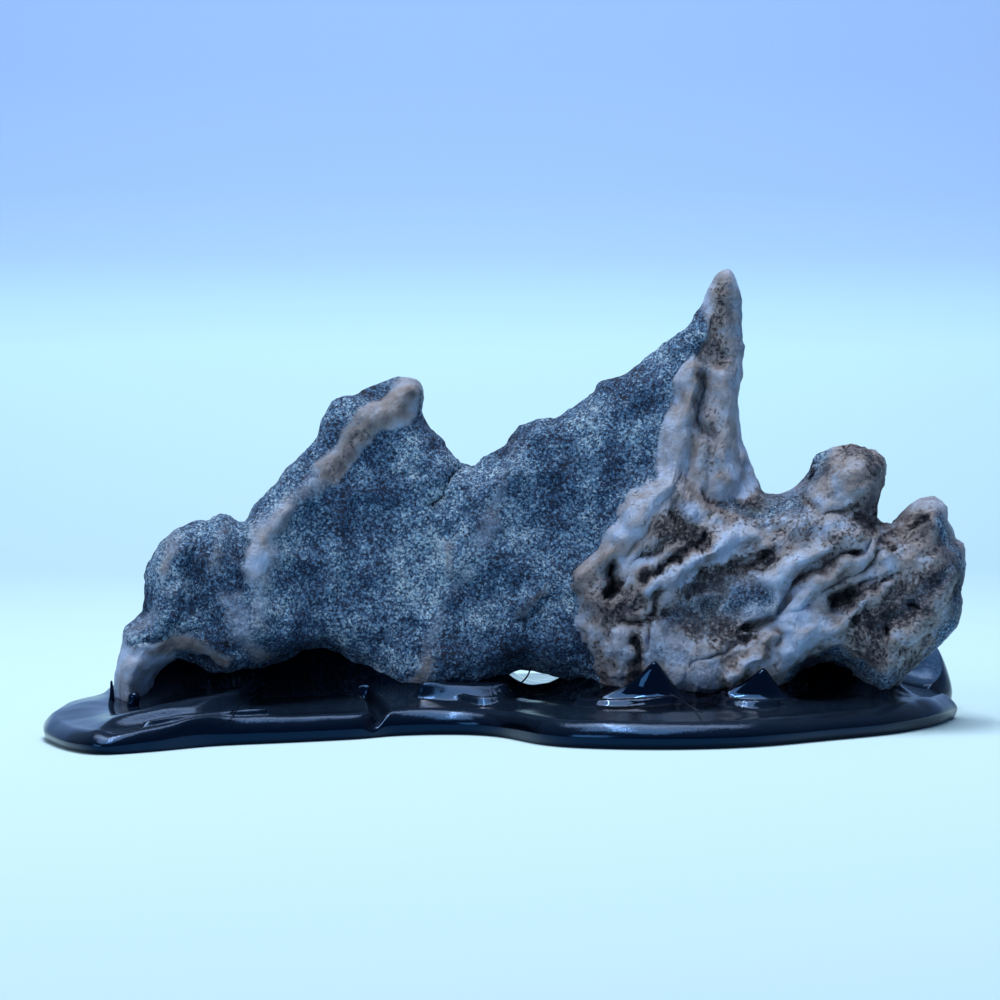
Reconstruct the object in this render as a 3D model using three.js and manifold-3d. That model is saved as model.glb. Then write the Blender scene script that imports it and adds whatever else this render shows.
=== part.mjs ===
// A scholar's rock: a two-peaked schist and calcite stone standing in a poured black resin base.
// Millimetres, +Z up. The origin is on the ground under the middle of the base, and the stone's
// display face looks along -Y.
import * as THREE from "three";
import { mergeVertices } from "three/addons/utils/BufferGeometryUtils.js";
import Module from "manifold-3d";

const wasm = await Module();
wasm.setup();

// Overall size of the stone on its base.
const WIDTH = 150;
const DEPTH = 90;
const HEIGHT = 75;

// Fineness of the two surfaces: stations along each piece and rows across it.
const STONE_STATIONS = 62;
const STONE_FRONT_ROWS = 11;
const STONE_BACK_ROWS = 8;
const BASE_STATIONS = 44;
const BASE_TOP_ROWS = 9;

// The gap left all round the stone's foot, so that the two pieces stay separate.
const SEAT_GAP = 0.4;

// The stone's silhouette as seen from the front, x across and z up. SKYLINE runs from the left foot
// over both peaks to the lower right; UNDERSIDE runs the same way beneath, foot by foot and arch by arch.
const SKYLINE = [
  [-65.0, 9.0], [-64.4, 12.3], [-63.0, 16.4], [-60.2, 19.0], [-59.9, 23.0], [-58.9, 27.6], [-55.2, 32.1],
  [-52.3, 33.4], [-50.8, 32.9], [-48.3, 34.2], [-44.4, 34.3], [-37.4, 42.1], [-33.4, 47.3], [-30.6, 51.9],
  [-28.7, 53.2], [-22.3, 56.1], [-19.4, 56.9], [-16.9, 56.4], [-15.7, 54.7], [-16.2, 51.3], [-12.7, 45.9],
  [-8.9, 42.3], [-6.2, 42.5], [0.3, 47.6], [3.3, 49.8], [6.8, 50.0], [12.5, 53.5], [14.0, 56.1],
  [19.0, 57.6], [24.4, 62.0], [29.8, 66.3], [32.5, 72.9], [34.8, 75.0], [36.6, 72.6], [37.5, 67.1],
  [37.2, 62.0], [37.4, 57.8], [37.1, 48.4], [40.8, 38.1], [45.6, 38.0], [48.4, 40.4], [50.2, 44.2],
  [56.5, 45.7], [60.5, 43.4], [60.5, 40.0], [59.2, 35.0], [60.2, 33.0], [62.5, 33.0], [65.5, 36.2],
  [68.4, 37.1], [70.6, 35.6], [71.9, 30.7], [73.5, 28.6], [73.2, 20.0], [72.4, 16.0],
];
const UNDERSIDE = [
  [-64.9, 7.2], [-64.4, 4.2], [-62.6, 3.1], [-60.4, 3.6], [-58.6, 8.6], [-55.0, 10.4], [-48.3, 9.2],
  [-42.9, 9.2], [-35.0, 11.6], [-31.1, 12.1], [-25.2, 8.4], [-22.0, 4.6], [-18.3, 3.2], [-12.7, 3.8],
  [-6.2, 5.5], [-1.6, 7.6], [2.3, 8.3], [9.8, 6.1], [13.3, 3.7], [19.8, 2.8], [29.6, 2.8], [40.1, 3.4],
  [44.2, 5.8], [47.1, 8.8], [50.3, 10.2], [53.9, 9.2], [56.8, 5.6], [60.2, 4.6], [66.0, 9.6], [70.6, 14.0],
];

// The line inside the stone that every column of its surface starts from.
const SPINE_LEFT = -61.5;
const SPINE_RIGHT = 62;
const SPINE_HEIGHT = 20;
// At the left the spine dips into the foot, by this much over this run.
const SPINE_DIP = 9;
const SPINE_DIP_RUN = 12;
// Length of skyline that is averaged to find where a column leaves the spine.
const FAN_LENGTH = 36;

// The stone in plan, at stations along x: where its ridge stands, and how far its foot reaches
// in front of the ridge and behind it.
const PLAN = [
  { x: -66, ridge: -10, front: 7, back: 9 },
  { x: -48, ridge: -5, front: 10, back: 16 },
  { x: -22, ridge: 3, front: 10, back: 20 },
  { x: 4, ridge: 6, front: 13, back: 21 },
  { x: 34, ridge: 7, front: 16, back: 20 },
  { x: 58, ridge: 4, front: 12, back: 18 },
  { x: 74, ridge: 3, front: 8, back: 10 },
];
// Half the stone's thickness along the ridge, and the height at which the foot's reach has faded to it.
const RIDGE_HALF = 3.4;
const FADE_HEIGHT = 60;
// Radius that rounds the stone's outline over from front to back, at the ridge and at the ground.
const ROUND_RIDGE = 3.6;
const ROUND_GROUND = 8;

// Swellings on the display face: middle, half axes, turn in degrees and how far each stands out.
const SWELLINGS = [
  // The calcite lump and its shoulder.
  { x: 43, z: 19, along: 36, across: 17, turn: 22, out: 8 },
  { x: 24, z: 27, along: 13, across: 7, turn: 50, out: 5 },
  // The flowstone drape under the horn.
  { x: 32, z: 43, along: 19, across: 6, turn: 80, out: 4 },
  // The veins along the left edge and over the left foot.
  { x: -37, z: 34, along: 26, across: 4.5, turn: 52, out: 1.6 },
  { x: -57, z: 14, along: 10, across: 6, turn: 20, out: 1.6 },
];

// The poured base in plan, from the tip of the left lobe along the front to the right lobes and back.
const PUDDLE_FRONT = [
  [-75.0, -22], [-73.5, -29], [-68.5, -40], [-63.0, -45], [-56.0, -41.5], [-47.0, -34], [-36.0, -29.5],
  [-26.0, -25], [-19.0, -20], [-10.0, -18.5], [-3.0, -22], [4.0, -33], [12.0, -37.5], [24.0, -38.6],
  [36.0, -35.5], [48.0, -27], [60.0, -17.5], [68.5, -6], [73.5, 6],
];
const PUDDLE_BACK = [
  [-74.2, -15], [-70.0, -6], [-68.5, 8], [-66.0, 22], [-57.0, 33], [-44.0, 38], [-32.0, 37],
  [-20.0, 42], [-4.0, 45], [14.0, 43], [30.0, 44], [48.0, 41], [62.0, 38], [72.0, 31], [75.0, 22],
  [71.0, 14], [73.0, 11],
];
const PUDDLE_SPINE_LEFT = -52;
const PUDDLE_SPINE_RIGHT = 54;
// The rim's section, from the ground up and in: distance in from the outline, and height.
const RIM = [
  [1.6, 0], [0.4, 0.7], [0, 2.1], [0.6, 3.5], [2.2, 4.6], [5.0, 4.9],
];
// Height of the poured skin inside the rim, and how it swells up towards the stone.
const SKIN_HEIGHT = 4.4;
const MENISCUS_RISE = 2.6;
const MENISCUS_LENGTH = 7;

// Resin heaped up under the left, middle and right arches: where its middle is, half lengths along
// x and y, and how much higher it stands.
const HEAPS = [
  { x: -42, y: 2, long: 22, wide: 13, rise: 3.2 },
  { x: 3, y: 12, long: 12, wide: 9, rise: 1.2 },
  { x: 50, y: 9, long: 10, wide: 10, rise: 1.8 },
];

const smoothstep = (t) => t * t * (3 - 2 * t);
const clamp01 = (t) => Math.min(1, Math.max(0, t));

// A value of PLAN at x, eased from station to station.
function planAt(x, key) {
  const last = PLAN.length - 1;
  const beyond = PLAN.findIndex((s) => s.x > x);
  const k = beyond < 0 ? last : Math.max(1, beyond);
  const [a, b] = [PLAN[k - 1], PLAN[k]];
  return a[key] + (b[key] - a[key]) * smoothstep(clamp01((x - a.x) / (b.x - a.x)));
}

// Evenly spaced points on a smooth open curve through [a, b] pairs, with each point's share of the length.
function curvePoints(pairs, count) {
  const through = pairs.map(([a, b]) => new THREE.Vector3(a, b, 0));
  const curve = new THREE.CatmullRomCurve3(through, false, "catmullrom", 0.5);
  curve.arcLengthDivisions = 40 * pairs.length;
  return curve.getSpacedPoints(count).map((p) => ({ a: p.x, b: p.y }));
}

// For each point of a curve, the share of the spine that its column leaves from: its first coordinate
// averaged over a stretch of the curve, never running backwards, from 0 at the left to 1 at the right.
function spineShares(points, stretch) {
  const step = Math.hypot(points[1].a - points[0].a, points[1].b - points[0].b);
  const half = Math.max(1, Math.round(stretch / step / 2));
  let highest = -Infinity;
  const averaged = points.map((_, i) => {
    const near = points.slice(Math.max(0, i - half), i + half + 1);
    highest = Math.max(highest, near.reduce((sum, p) => sum + p.a, 0) / near.length);
    return highest;
  });
  const [first, last] = [averaged[0], averaged[averaged.length - 1]];
  return averaged.map((v) => (v - first) / (last - first));
}

// Stations around a closed outline: one side from left to right, then the other from right to left.
// Stations i and 2 * count - 1 - i leave the spine at the same point.
function outlineStations(leading, trailing, count, stretch) {
  const fine = 12 * count;
  const lead = curvePoints(leading, fine);
  const trail = curvePoints(trailing, fine);
  const leadShare = spineShares(lead, stretch);
  const trailShare = spineShares(trail, stretch);
  const there = [];
  const back = [];
  for (let i = 0; i < count; i++) {
    const k = Math.round((i / (count - 1)) * fine);
    const share = leadShare[k];
    const m = trailShare.findIndex((s) => s >= share - 1e-9);
    there.push({ ...lead[k], share });
    back.unshift({ ...trail[m < 0 ? fine : m], share });
  }
  return there.concat(back);
}

// The point of the stone's spine at a share of its length.
function spineAt(share) {
  const x = SPINE_LEFT + (SPINE_RIGHT - SPINE_LEFT) * share;
  const dip = SPINE_DIP * (1 - clamp01((x - SPINE_LEFT) / SPINE_DIP_RUN));
  return { x, z: SPINE_HEIGHT - dip };
}

// Distance from a point to a closed outline of stations.
function distanceToOutline(a, b, stations) {
  let nearest = Infinity;
  stations.forEach((p, i) => {
    const q = stations[(i + 1) % stations.length];
    const [u, v] = [q.a - p.a, q.b - p.b];
    const t = clamp01(((a - p.a) * u + (b - p.b) * v) / (u * u + v * v || 1));
    nearest = Math.min(nearest, Math.hypot(a - p.a - t * u, b - p.b - t * v));
  });
  return nearest;
}

// A closed surface from rings of points, each ring going once round the outline. The first and last
// rings lie on the spine, where opposite stations share their points.
function ringSurface(rings) {
  const n = rings[0].length;
  const positions = rings.flat(2);
  const index = [];
  for (let r = 0; r + 1 < rings.length; r++) {
    for (let i = 0; i < n; i++) {
      const [p, q] = [r * n + i, r * n + ((i + 1) % n)];
      index.push(p, q, p + n, q, q + n, p + n);
    }
  }
  const geometry = new THREE.BufferGeometry();
  geometry.setAttribute("position", new THREE.Float32BufferAttribute(positions, 3));
  geometry.setIndex(index);
  return dropEmptyFaces(mergeVertices(geometry, 1e-3));
}

// The geometry without triangles that merging has folded to a line.
function dropEmptyFaces(geometry) {
  const kept = [];
  const index = geometry.index.array;
  for (let i = 0; i < index.length; i += 3) {
    const [p, q, r] = [index[i], index[i + 1], index[i + 2]];
    if (p !== q && q !== r && p !== r) kept.push(p, q, r);
  }
  geometry.setIndex(kept);
  return geometry;
}

// How far a point of the display face is carried out by the swellings: the tallest ellipsoid cap there.
function swellingAt(x, z) {
  return Math.max(0, ...SWELLINGS.map((s) => {
    const turn = THREE.MathUtils.degToRad(s.turn);
    const along = (x - s.x) * Math.cos(turn) + (z - s.z) * Math.sin(turn);
    const across = (z - s.z) * Math.cos(turn) - (x - s.x) * Math.sin(turn);
    const reach = (along / s.along) ** 2 + (across / s.across) ** 2;
    return s.out * Math.sqrt(Math.max(0, 1 - reach));
  }));
}

// Depth of the stone's front or back face from its ridge plane at a point of the silhouette.
function faceDepth(x, z, side, edgeDistance) {
  const low = clamp01(1 - z / FADE_HEIGHT);
  const foot = RIDGE_HALF + (planAt(x, side) - RIDGE_HALF) * low;
  const depth = foot + (side === "front" ? swellingAt(x, z) : 0);
  const radius = ROUND_RIDGE + (ROUND_GROUND - ROUND_RIDGE) * low;
  const inner = 1 - Math.min(1, edgeDistance / radius);
  return depth * Math.sqrt(1 - inner * inner);
}

// One value of a closed ring, evened out with its two neighbours on each side.
function easedAround(values, i) {
  const n = values.length;
  const at = (k) => values[(i + k + n) % n];
  return (at(-2) + 4 * at(-1) + 6 * at(0) + 4 * at(1) + at(2)) / 16;
}

// The stone: columns fan out from the spine to the silhouette, and each face stands off the ridge plane.
function stoneGeometry(stationCount, frontRows, backRows) {
  const stations = outlineStations(SKYLINE, UNDERSIDE, stationCount, FAN_LENGTH);
  const tallest = Math.max(...stations.map((s) => s.b));
  stations.forEach((s) => { s.b *= HEIGHT / tallest; });
  const ring = (reach, side) => {
    const flat = stations.map((s) => {
      const root = spineAt(s.share);
      return { x: root.x + (s.a - root.x) * reach, z: root.z + (s.b - root.z) * reach };
    });
    const inward = ({ x, z }) => (reach === 1 ? 0 : distanceToOutline(x, z, stations));
    const depths = flat.map((p) => faceDepth(p.x, p.z, side, inward(p)));
    const away = side === "front" ? -1 : 1;
    return flat.map(({ x, z }, i) => [x, planAt(x, "ridge") + away * easedAround(depths, i), z]);
  };
  const reachAt = (row, rows) => Math.sin((Math.PI / 2) * (row / rows));
  const rings = [];
  for (let j = 0; j < frontRows; j++) rings.push(ring(reachAt(j, frontRows), "front"));
  rings.push(ring(1, "front"));
  for (let j = backRows - 1; j >= 0; j--) rings.push(ring(reachAt(j, backRows), "back"));
  return ringSurface(rings);
}

// Copies of a surface, moved by a distance to each side, to the front, to the back and down.
function shiftedCopies(geometry, distance) {
  const ways = [[1, 0, 0], [-1, 0, 0], [0, 1, 0], [0, -1, 0], [0, 0, -1]];
  return ways.map(([x, y, z]) => geometry.clone().translate(x * distance, y * distance, z * distance));
}

// The base's outline, fitted exactly to the overall width and depth.
function puddleStations() {
  const stations = outlineStations(PUDDLE_FRONT, PUDDLE_BACK, BASE_STATIONS, FAN_LENGTH);
  const fit = (key, size) => {
    const values = stations.map((s) => s[key]);
    const [low, high] = [Math.min(...values), Math.max(...values)];
    stations.forEach((s) => { s[key] = (s[key] - (low + high) / 2) * (size / (high - low)); });
  };
  fit("a", WIDTH);
  fit("b", DEPTH);
  return stations;
}

// Height of the poured skin: level inside the rim, rising in a meniscus towards the stone's foot
// and heaped up under its arches.
function skinHeight(x, y) {
  const ridge = planAt(x, "ridge");
  const beyondFaces = Math.max(ridge - planAt(x, "front") - y, y - ridge - planAt(x, "back"));
  const beyondEnds = Math.max(SPINE_LEFT - x, x - SPINE_RIGHT);
  const outside = Math.max(beyondFaces, beyondEnds, 0);
  const heaped = HEAPS.map((h) => {
    const off = ((x - h.x) / h.long) ** 2 + ((y - h.y) / h.wide) ** 2;
    return h.rise * Math.exp(-off);
  });
  return SKIN_HEIGHT + MENISCUS_RISE * Math.exp(-outside / MENISCUS_LENGTH) + Math.max(...heaped);
}

// The base before the stone's seat is cut: flat underneath, a rounded rim, and the skin on top.
function puddleGeometry() {
  const stations = puddleStations();
  const rootOf = (s) => PUDDLE_SPINE_LEFT + (PUDDLE_SPINE_RIGHT - PUDDLE_SPINE_LEFT) * s.share;
  const along = (s, reach, height) => {
    const x = rootOf(s) + (s.a - rootOf(s)) * reach;
    const y = s.b * reach;
    return [x, y, height ?? skinHeight(x, y)];
  };
  const reachIn = (s, inset) => 1 - inset / Math.hypot(s.a - rootOf(s), s.b);
  const rings = [stations.map((s) => along(s, 0, 0))];
  RIM.forEach(([inset, height]) => rings.push(stations.map((s) => along(s, reachIn(s, inset), height))));
  const lastInset = RIM[RIM.length - 1][0];
  for (let j = BASE_TOP_ROWS - 1; j >= 0; j--) {
    rings.push(stations.map((s) => along(s, (reachIn(s, lastInset) * j) / BASE_TOP_ROWS)));
  }
  return ringSurface(rings);
}

// A closed geometry as a solid that can be cut.
function solidOf(geometry) {
  const triVerts = new Uint32Array(geometry.index.array);
  const vertProperties = new Float32Array(geometry.getAttribute("position").array);
  return new wasm.Manifold(new wasm.Mesh({ numProp: 3, vertProperties, triVerts }));
}

// A cut solid as a geometry again.
function geometryOf(solid) {
  const mesh = solid.getMesh();
  const geometry = new THREE.BufferGeometry();
  geometry.setAttribute("position", new THREE.Float32BufferAttribute(mesh.vertProperties, 3));
  geometry.setIndex(new THREE.BufferAttribute(mesh.triVerts, 1));
  return geometry;
}

const stoneShape = stoneGeometry(STONE_STATIONS, STONE_FRONT_ROWS, STONE_BACK_ROWS);
const seated = shiftedCopies(stoneShape, SEAT_GAP).reduce(
  (solid, copy) => solid.subtract(solidOf(copy)),
  solidOf(puddleGeometry()),
);
// Crumbs that the cut leaves loose in the seat are dropped.
const [wholeBase] = seated.decompose().sort((a, b) => b.volume() - a.volume());
const baseShape = geometryOf(wholeBase);

const stoneMaterial = new THREE.MeshStandardMaterial({ color: "#4b5f7a", roughness: 0.8, metalness: 0 });
const resinMaterial = new THREE.MeshStandardMaterial({ color: "#070b12", roughness: 0.15, metalness: 0 });

const stone = new THREE.Mesh(stoneShape, stoneMaterial);
stone.name = "stone";
const base = new THREE.Mesh(baseShape, resinMaterial);
base.name = "base";

const scholarsRock = new THREE.Group();
scholarsRock.name = "scholars_rock";
scholarsRock.add(stone, base);

export default scholarsRock;
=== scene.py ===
"""A scholars rock in a poured black base.

A two-peaked schist stone, hung with white calcite, stands in a puddle of black resin. Sizes are
millimetres in the part's own frame: x along the stone, y away from the viewer, z up. Shapes are
worked out in millimetres and put into Blender in metres.
"""

import logging
import math
from collections.abc import Callable
from dataclasses import dataclass
from enum import Enum, IntEnum
from functools import partial
from itertools import pairwise, product

import bpy
import numpy as np
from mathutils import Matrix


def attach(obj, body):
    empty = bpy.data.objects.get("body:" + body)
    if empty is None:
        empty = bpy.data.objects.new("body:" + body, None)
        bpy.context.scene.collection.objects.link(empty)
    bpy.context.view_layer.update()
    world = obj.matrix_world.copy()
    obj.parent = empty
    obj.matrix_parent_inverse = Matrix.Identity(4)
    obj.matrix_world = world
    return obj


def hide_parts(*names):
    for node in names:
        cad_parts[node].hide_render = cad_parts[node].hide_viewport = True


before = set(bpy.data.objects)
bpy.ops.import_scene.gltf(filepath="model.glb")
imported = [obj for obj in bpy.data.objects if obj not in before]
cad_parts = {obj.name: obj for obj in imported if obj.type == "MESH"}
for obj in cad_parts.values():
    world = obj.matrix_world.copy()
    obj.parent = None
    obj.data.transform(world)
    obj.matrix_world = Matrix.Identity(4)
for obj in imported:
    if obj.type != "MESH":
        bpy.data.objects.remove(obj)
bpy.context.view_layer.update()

LOG = logging.getLogger("scholars_rock")
MM = 0.001
BODY = "root"
TINY = 1e-9

Array = np.ndarray
Path = tuple[tuple[float, ...], ...]
Stops = tuple[tuple[float, str], ...]

# Large odd numbers that scatter a lattice's indexes over 32 bits.
HASH_WEIGHTS = np.array((374761393, 668265263, 1440662683))
HASH_STEP = 974634777
HASH_MIX = 1274126177
HASH_BITS = 0xFFFFFFFF
HASH_TOP = 0xFFFFFF

# How finely a curve is drawn between two of its points, and between two stations, before it is cut.
CURVE_STEPS = 24
STATION_STEPS = 12
# The part of a station's share of a spine that rises evenly.
EVEN_SHARE = 0.03

# Settings of nodes that are used again and again.
MULTIPLY = {"operation": "MULTIPLY"}
MULTIPLY_ADD = {"operation": "MULTIPLY_ADD"}
COLOURS = {"data_type": "RGBA"}
# The output of a mix node that gives a colour.
MIXED_COLOUR = 2


class Seed(IntEnum):
    """Picks one pattern of noise for each use of it."""

    BROKEN = 3
    ROUGH = 8
    WANDER_X = 11
    ROUNDED = 17
    KNOTS = 19
    WANDER_Z = 23
    WIDE_PITS = 29
    FINE_PITS = 37
    BLOTCH = 41
    FOLDS = 53
    SHORE = 61
    SKIN = 71
    SATIN = 83


def linear(hex_colour: str) -> tuple[float, float, float, float]:
    """An sRGB hex colour as linear red, green and blue, with full alpha.

    Args:
        hex_colour: a hash sign and six hexadecimal digits.

    Returns:
        Four numbers from 0 to 1.
    """
    parts = [int(hex_colour[i:i + 2], 16) / 255 for i in (1, 3, 5)]
    red, green, blue = (p / 12.92 if p <= 0.04045 else ((p + 0.055) / 1.055) ** 2.4 for p in parts)
    return red, green, blue, 1.0


def ease(low: float, high: float, value: Array) -> Array:
    """0 where value is at low, 1 where it is at high, and an S-shaped curve between."""
    t = np.clip((value - low) / (high - low), 0.0, 1.0)
    return t * t * (3.0 - 2.0 * t)


def lattice_hash(cells: Array, seed: int) -> Array:
    """A number from 0 to 1 for each whole-number cell, mixed from its three indexes and a seed.

    Args:
        cells: whole numbers, three to a row.
        seed: picks one pattern of numbers.

    Returns:
        One number for each row of cells.
    """
    mixed = (cells @ HASH_WEIGHTS + seed * HASH_STEP) & HASH_BITS
    mixed = ((mixed ^ (mixed >> 13)) * HASH_MIX) & HASH_BITS
    return ((mixed ^ (mixed >> 16)) & HASH_TOP) / HASH_TOP


def lattice_noise(points: Array, cell: float, seed: int) -> Array:
    """Smooth noise from -1 to 1: random numbers at the corners of a lattice, blended between them.

    Args:
        points: places, three to a row.
        cell: the lattice's spacing, in the same unit.
        seed: picks one pattern.

    Returns:
        One number for each point.
    """
    scaled = points / cell
    corner = np.floor(scaled).astype(np.int64)
    t = scaled - corner
    t = t * t * t * (t * (t * 6.0 - 15.0) + 10.0)
    total = np.zeros(len(points))
    for step in product((0, 1), repeat=3):
        weight = np.prod(np.where(np.array(step) == 1, t, 1.0 - t), axis=1)
        total += weight * lattice_hash(corner + np.array(step), seed)
    return 2.0 * total - 1.0


@dataclass(frozen=True)
class Unevenness:
    """Noise over several scales: each octave is half as wide and half as strong as the one before.

    Attributes:
        height: of the widest octave.
        size: of its lattice, in millimetres.
        seed: picks one pattern.
        octaves: how many there are.
    """

    height: float
    size: float
    seed: Seed
    octaves: int

    def at(self, points: Array) -> Array:
        """The noise at each point, from about -2 to 2 times the height."""
        steps = range(self.octaves)
        return self.height * sum(lattice_noise(points, self.size / 2**k, self.seed + k) / 2**k for k in steps)


def cell_distance(points: Array, cell: float, seed: int) -> Array:
    """Distance to the nearest of a field of scattered points, one in each cell of a lattice.

    Args:
        points: places, three to a row.
        cell: the lattice's spacing, in the same unit.
        seed: picks one scatter.

    Returns:
        Distances in cells: 0 on a scattered point, and seldom over 1.
    """
    scaled = points / cell
    corner = np.floor(scaled).astype(np.int64)
    nearest = np.full(len(points), np.inf)
    for step in product((-1, 0, 1), repeat=3):
        near = corner + np.array(step)
        scatter = np.column_stack([lattice_hash(near, seed + axis) for axis in range(3)])
        nearest = np.minimum(nearest, np.linalg.norm(scaled - near - scatter, axis=1))
    return nearest


def curve_through(points: Path, count: int) -> Array:
    """Points at even steps along a smooth curve through given points.

    Each stretch is the Catmull-Rom cubic of the two points beside it and the two beyond; the fine
    curve is then cut at equal shares of its length.

    Args:
        points: places that the curve passes through, with any number of coordinates.
        count: how many points to return.

    Returns:
        An array of count rows.
    """
    knots = np.asarray(points, float)
    padded = np.vstack([2 * knots[0] - knots[1], knots, 2 * knots[-1] - knots[-2]])
    p0, p1, p2, p3 = (padded[k:k + len(knots) - 1, None, :] for k in range(4))
    t = np.linspace(0.0, 1.0, CURVE_STEPS, endpoint=False)[None, :, None]
    bend = (2 * p0 - 5 * p1 + 4 * p2 - p3) * t**2 + (3 * p1 - p0 - 3 * p2 + p3) * t**3
    fine = 0.5 * (2 * p1 + (p2 - p0) * t + bend)
    fine = np.vstack([fine.reshape(-1, knots.shape[1]), knots[-1]])
    run = np.concatenate([[0.0], np.cumsum(np.linalg.norm(np.diff(fine, axis=0), axis=1))])
    return np.column_stack([np.interp(np.linspace(0.0, run[-1], count), run, axis) for axis in fine.T])


def spine_share(curve: Array, stretch: float) -> Array:
    """Where along a spine each point of a curve starts from, from 0 at the left to 1 at the right.

    The share is the point's x, averaged over a stretch of the curve and kept from running backwards,
    with a small even rise added so that no two points share a start.

    Args:
        curve: points at even steps.
        stretch: length of curve to average over.

    Returns:
        One share for each point.
    """
    half = max(1, round(stretch / np.linalg.norm(curve[1] - curve[0]) / 2))
    total = np.concatenate([[0.0], np.cumsum(curve[:, 0])])
    index = np.arange(len(curve))
    low = np.maximum(index - half, 0)
    high = np.minimum(index + half + 1, len(curve))
    rising = np.maximum.accumulate((total[high] - total[low]) / (high - low))
    share = (rising - rising[0]) / (rising[-1] - rising[0])
    return (1.0 - EVEN_SHARE) * share + EVEN_SHARE * np.linspace(0.0, 1.0, len(curve))


def ring_stations(leading: Path, trailing: Path, count: int, stretch: float) -> tuple[Array, Array]:
    """Stations round a closed outline whose two sides both run from left to right.

    The first side is cut at even steps. Each station of the second is the point with the same share
    of the spine as one of the first, so that stations i and 2 * count - 1 - i start from one point.

    Args:
        leading: the first side's points.
        trailing: the second side's points.
        count: stations on each side.
        stretch: length of outline that is averaged to find a station's share.

    Returns:
        The stations, two coordinates to a row, and their shares of the spine.
    """
    lead = curve_through(leading, STATION_STEPS * count)
    trail = curve_through(trailing, STATION_STEPS * count)
    pick = np.linspace(0, len(lead) - 1, count).round().astype(int)
    share = spine_share(lead, stretch)[pick]
    trail_share = spine_share(trail, stretch)
    match = np.column_stack([np.interp(share, trail_share, axis) for axis in trail.T])
    return np.vstack([lead[pick], match[::-1]]), np.concatenate([share, share[::-1]])


def beside_stretch(flat: Array, start: Array, end: Array) -> tuple[Array, Array]:
    """Where points of a plane lie beside a straight stretch.

    Args:
        flat: places, two to a row.
        start: the stretch's first point.
        end: its last point.

    Returns:
        How far along the stretch each place is, from 0 to 1, and how far from it.
    """
    along = end - start
    t = np.clip((flat - start) @ along / max(along @ along, TINY), 0.0, 1.0)
    return t, np.linalg.norm(flat - start - t[:, None] * along, axis=1)


def distance_to_path(flat: Array, path: Array) -> Array:
    """Shortest distance from each point of a plane to a path of straight stretches.

    Args:
        flat: places, two to a row.
        path: the path's points, two to a row.

    Returns:
        One distance for each place.
    """
    nearest = np.full(len(flat), np.inf)
    for start, end in pairwise(path):
        nearest = np.minimum(nearest, beside_stretch(flat, start, end)[1])
    return nearest


def inside_polygon(flat: Array, polygon: Array) -> Array:
    """Which points of a plane lie in a polygon.

    A line to the right from a point inside crosses the polygon's sides an odd number of times.

    Args:
        flat: places, two to a row.
        polygon: the polygon's corners, two to a row.

    Returns:
        True for each place inside.
    """
    inside = np.zeros(len(flat), bool)
    for (x0, z0), (x1, z1) in pairwise(np.vstack([polygon, polygon[:1]])):
        crosses = (z0 > flat[:, 1]) != (z1 > flat[:, 1])
        rise = z1 - z0 if z1 != z0 else 1.0
        inside ^= crosses & (flat[:, 0] < x0 + (flat[:, 1] - z0) * (x1 - x0) / rise)
    return inside


def within_edge(flat: Array, edge: Array, beyond: Path) -> tuple[Array, Array]:
    """Which side of an edge points of a plane lie on.

    Args:
        flat: places, two to a row.
        edge: the edge's points.
        beyond: points that close the edge round the region on its inner side.

    Returns:
        True for each place in the region, and its distance from the edge, less than 0 outside.
    """
    within = inside_polygon(flat, np.vstack([edge, np.asarray(beyond)]))
    return within, np.where(within, 1.0, -1.0) * distance_to_path(flat, edge)


def stroke_cover(flat: Array, path: Path) -> Array:
    """How far inside a brush stroke each point lies: 1 on its middle line, 0 at its edge and beyond.

    Args:
        flat: places, two to a row.
        path: the stroke's points, each with its half width as the third number.

    Returns:
        One number for each place.
    """
    cover = np.zeros(len(flat))
    for start, end in pairwise(np.asarray(path, float)):
        t, away = beside_stretch(flat, start[:2], end[:2])
        cover = np.maximum(cover, 1.0 - away / (start[2] + (end[2] - start[2]) * t))
    return np.clip(cover, 0.0, 1.0)


class Mark(Enum):
    """What a brush stroke does to the surface under it."""

    RAISE = "raise"
    WAVE = "wave"
    SINK = "sink"
    CALCITE = "calcite"
    SCHIST = "schist"
    TAN = "tan"
    STAIN = "stain"
    PORES = "pores"

    def __call__(self, amount: float, *path: tuple[float, float, float]) -> "Stroke":
        """A stroke of this mark."""
        return Stroke(self, amount, path)


@dataclass(frozen=True)
class Stroke:
    """One brush stroke on a face.

    Attributes:
        mark: what the stroke does.
        amount: millimetres for a raised, waved or sunk stroke, a strength from 0 to 1 for a painted one.
        path: points with half widths.
    """

    mark: Mark
    amount: float
    path: Path


RAISE, WAVE, SINK, CALCITE, SCHIST, TAN, STAIN, PORES = Mark
# Calcite painted at least this strongly keeps its strength half way out to its edge.
SOLID_CALCITE = 0.9


def brushed(flat: Array, strokes: tuple[Stroke, ...], mark: Mark) -> Array:
    """The strongest stroke of one mark at each point.

    A stroke runs out smoothly to its edge, as an S-shaped curve. A raised one is the mean of that and a
    quarter of a sine wave, so that a crease runs along its edge. Solid calcite is full half way out.

    Args:
        flat: places, two to a row.
        strokes: all the strokes of a face.
        mark: the mark to gather.

    Returns:
        One amount for each place.
    """
    field = np.zeros(len(flat))
    for stroke in strokes:
        if stroke.mark is mark:
            cover = stroke_cover(flat, stroke.path)
            solid = mark is CALCITE and stroke.amount >= SOLID_CALCITE
            shape = ease(0.0, 0.5 if solid else 1.0, cover)
            if mark is RAISE:
                shape = 0.5 * (shape + np.sin(0.5 * np.pi * cover))
            field = np.maximum(field, stroke.amount * shape)
    return field


def relief(flat: Array, strokes: tuple[Stroke, ...]) -> Array:
    """How far the raised strokes less the sunk ones lift a face, in millimetres."""
    return brushed(flat, strokes, RAISE) - brushed(flat, strokes, SINK)


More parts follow.
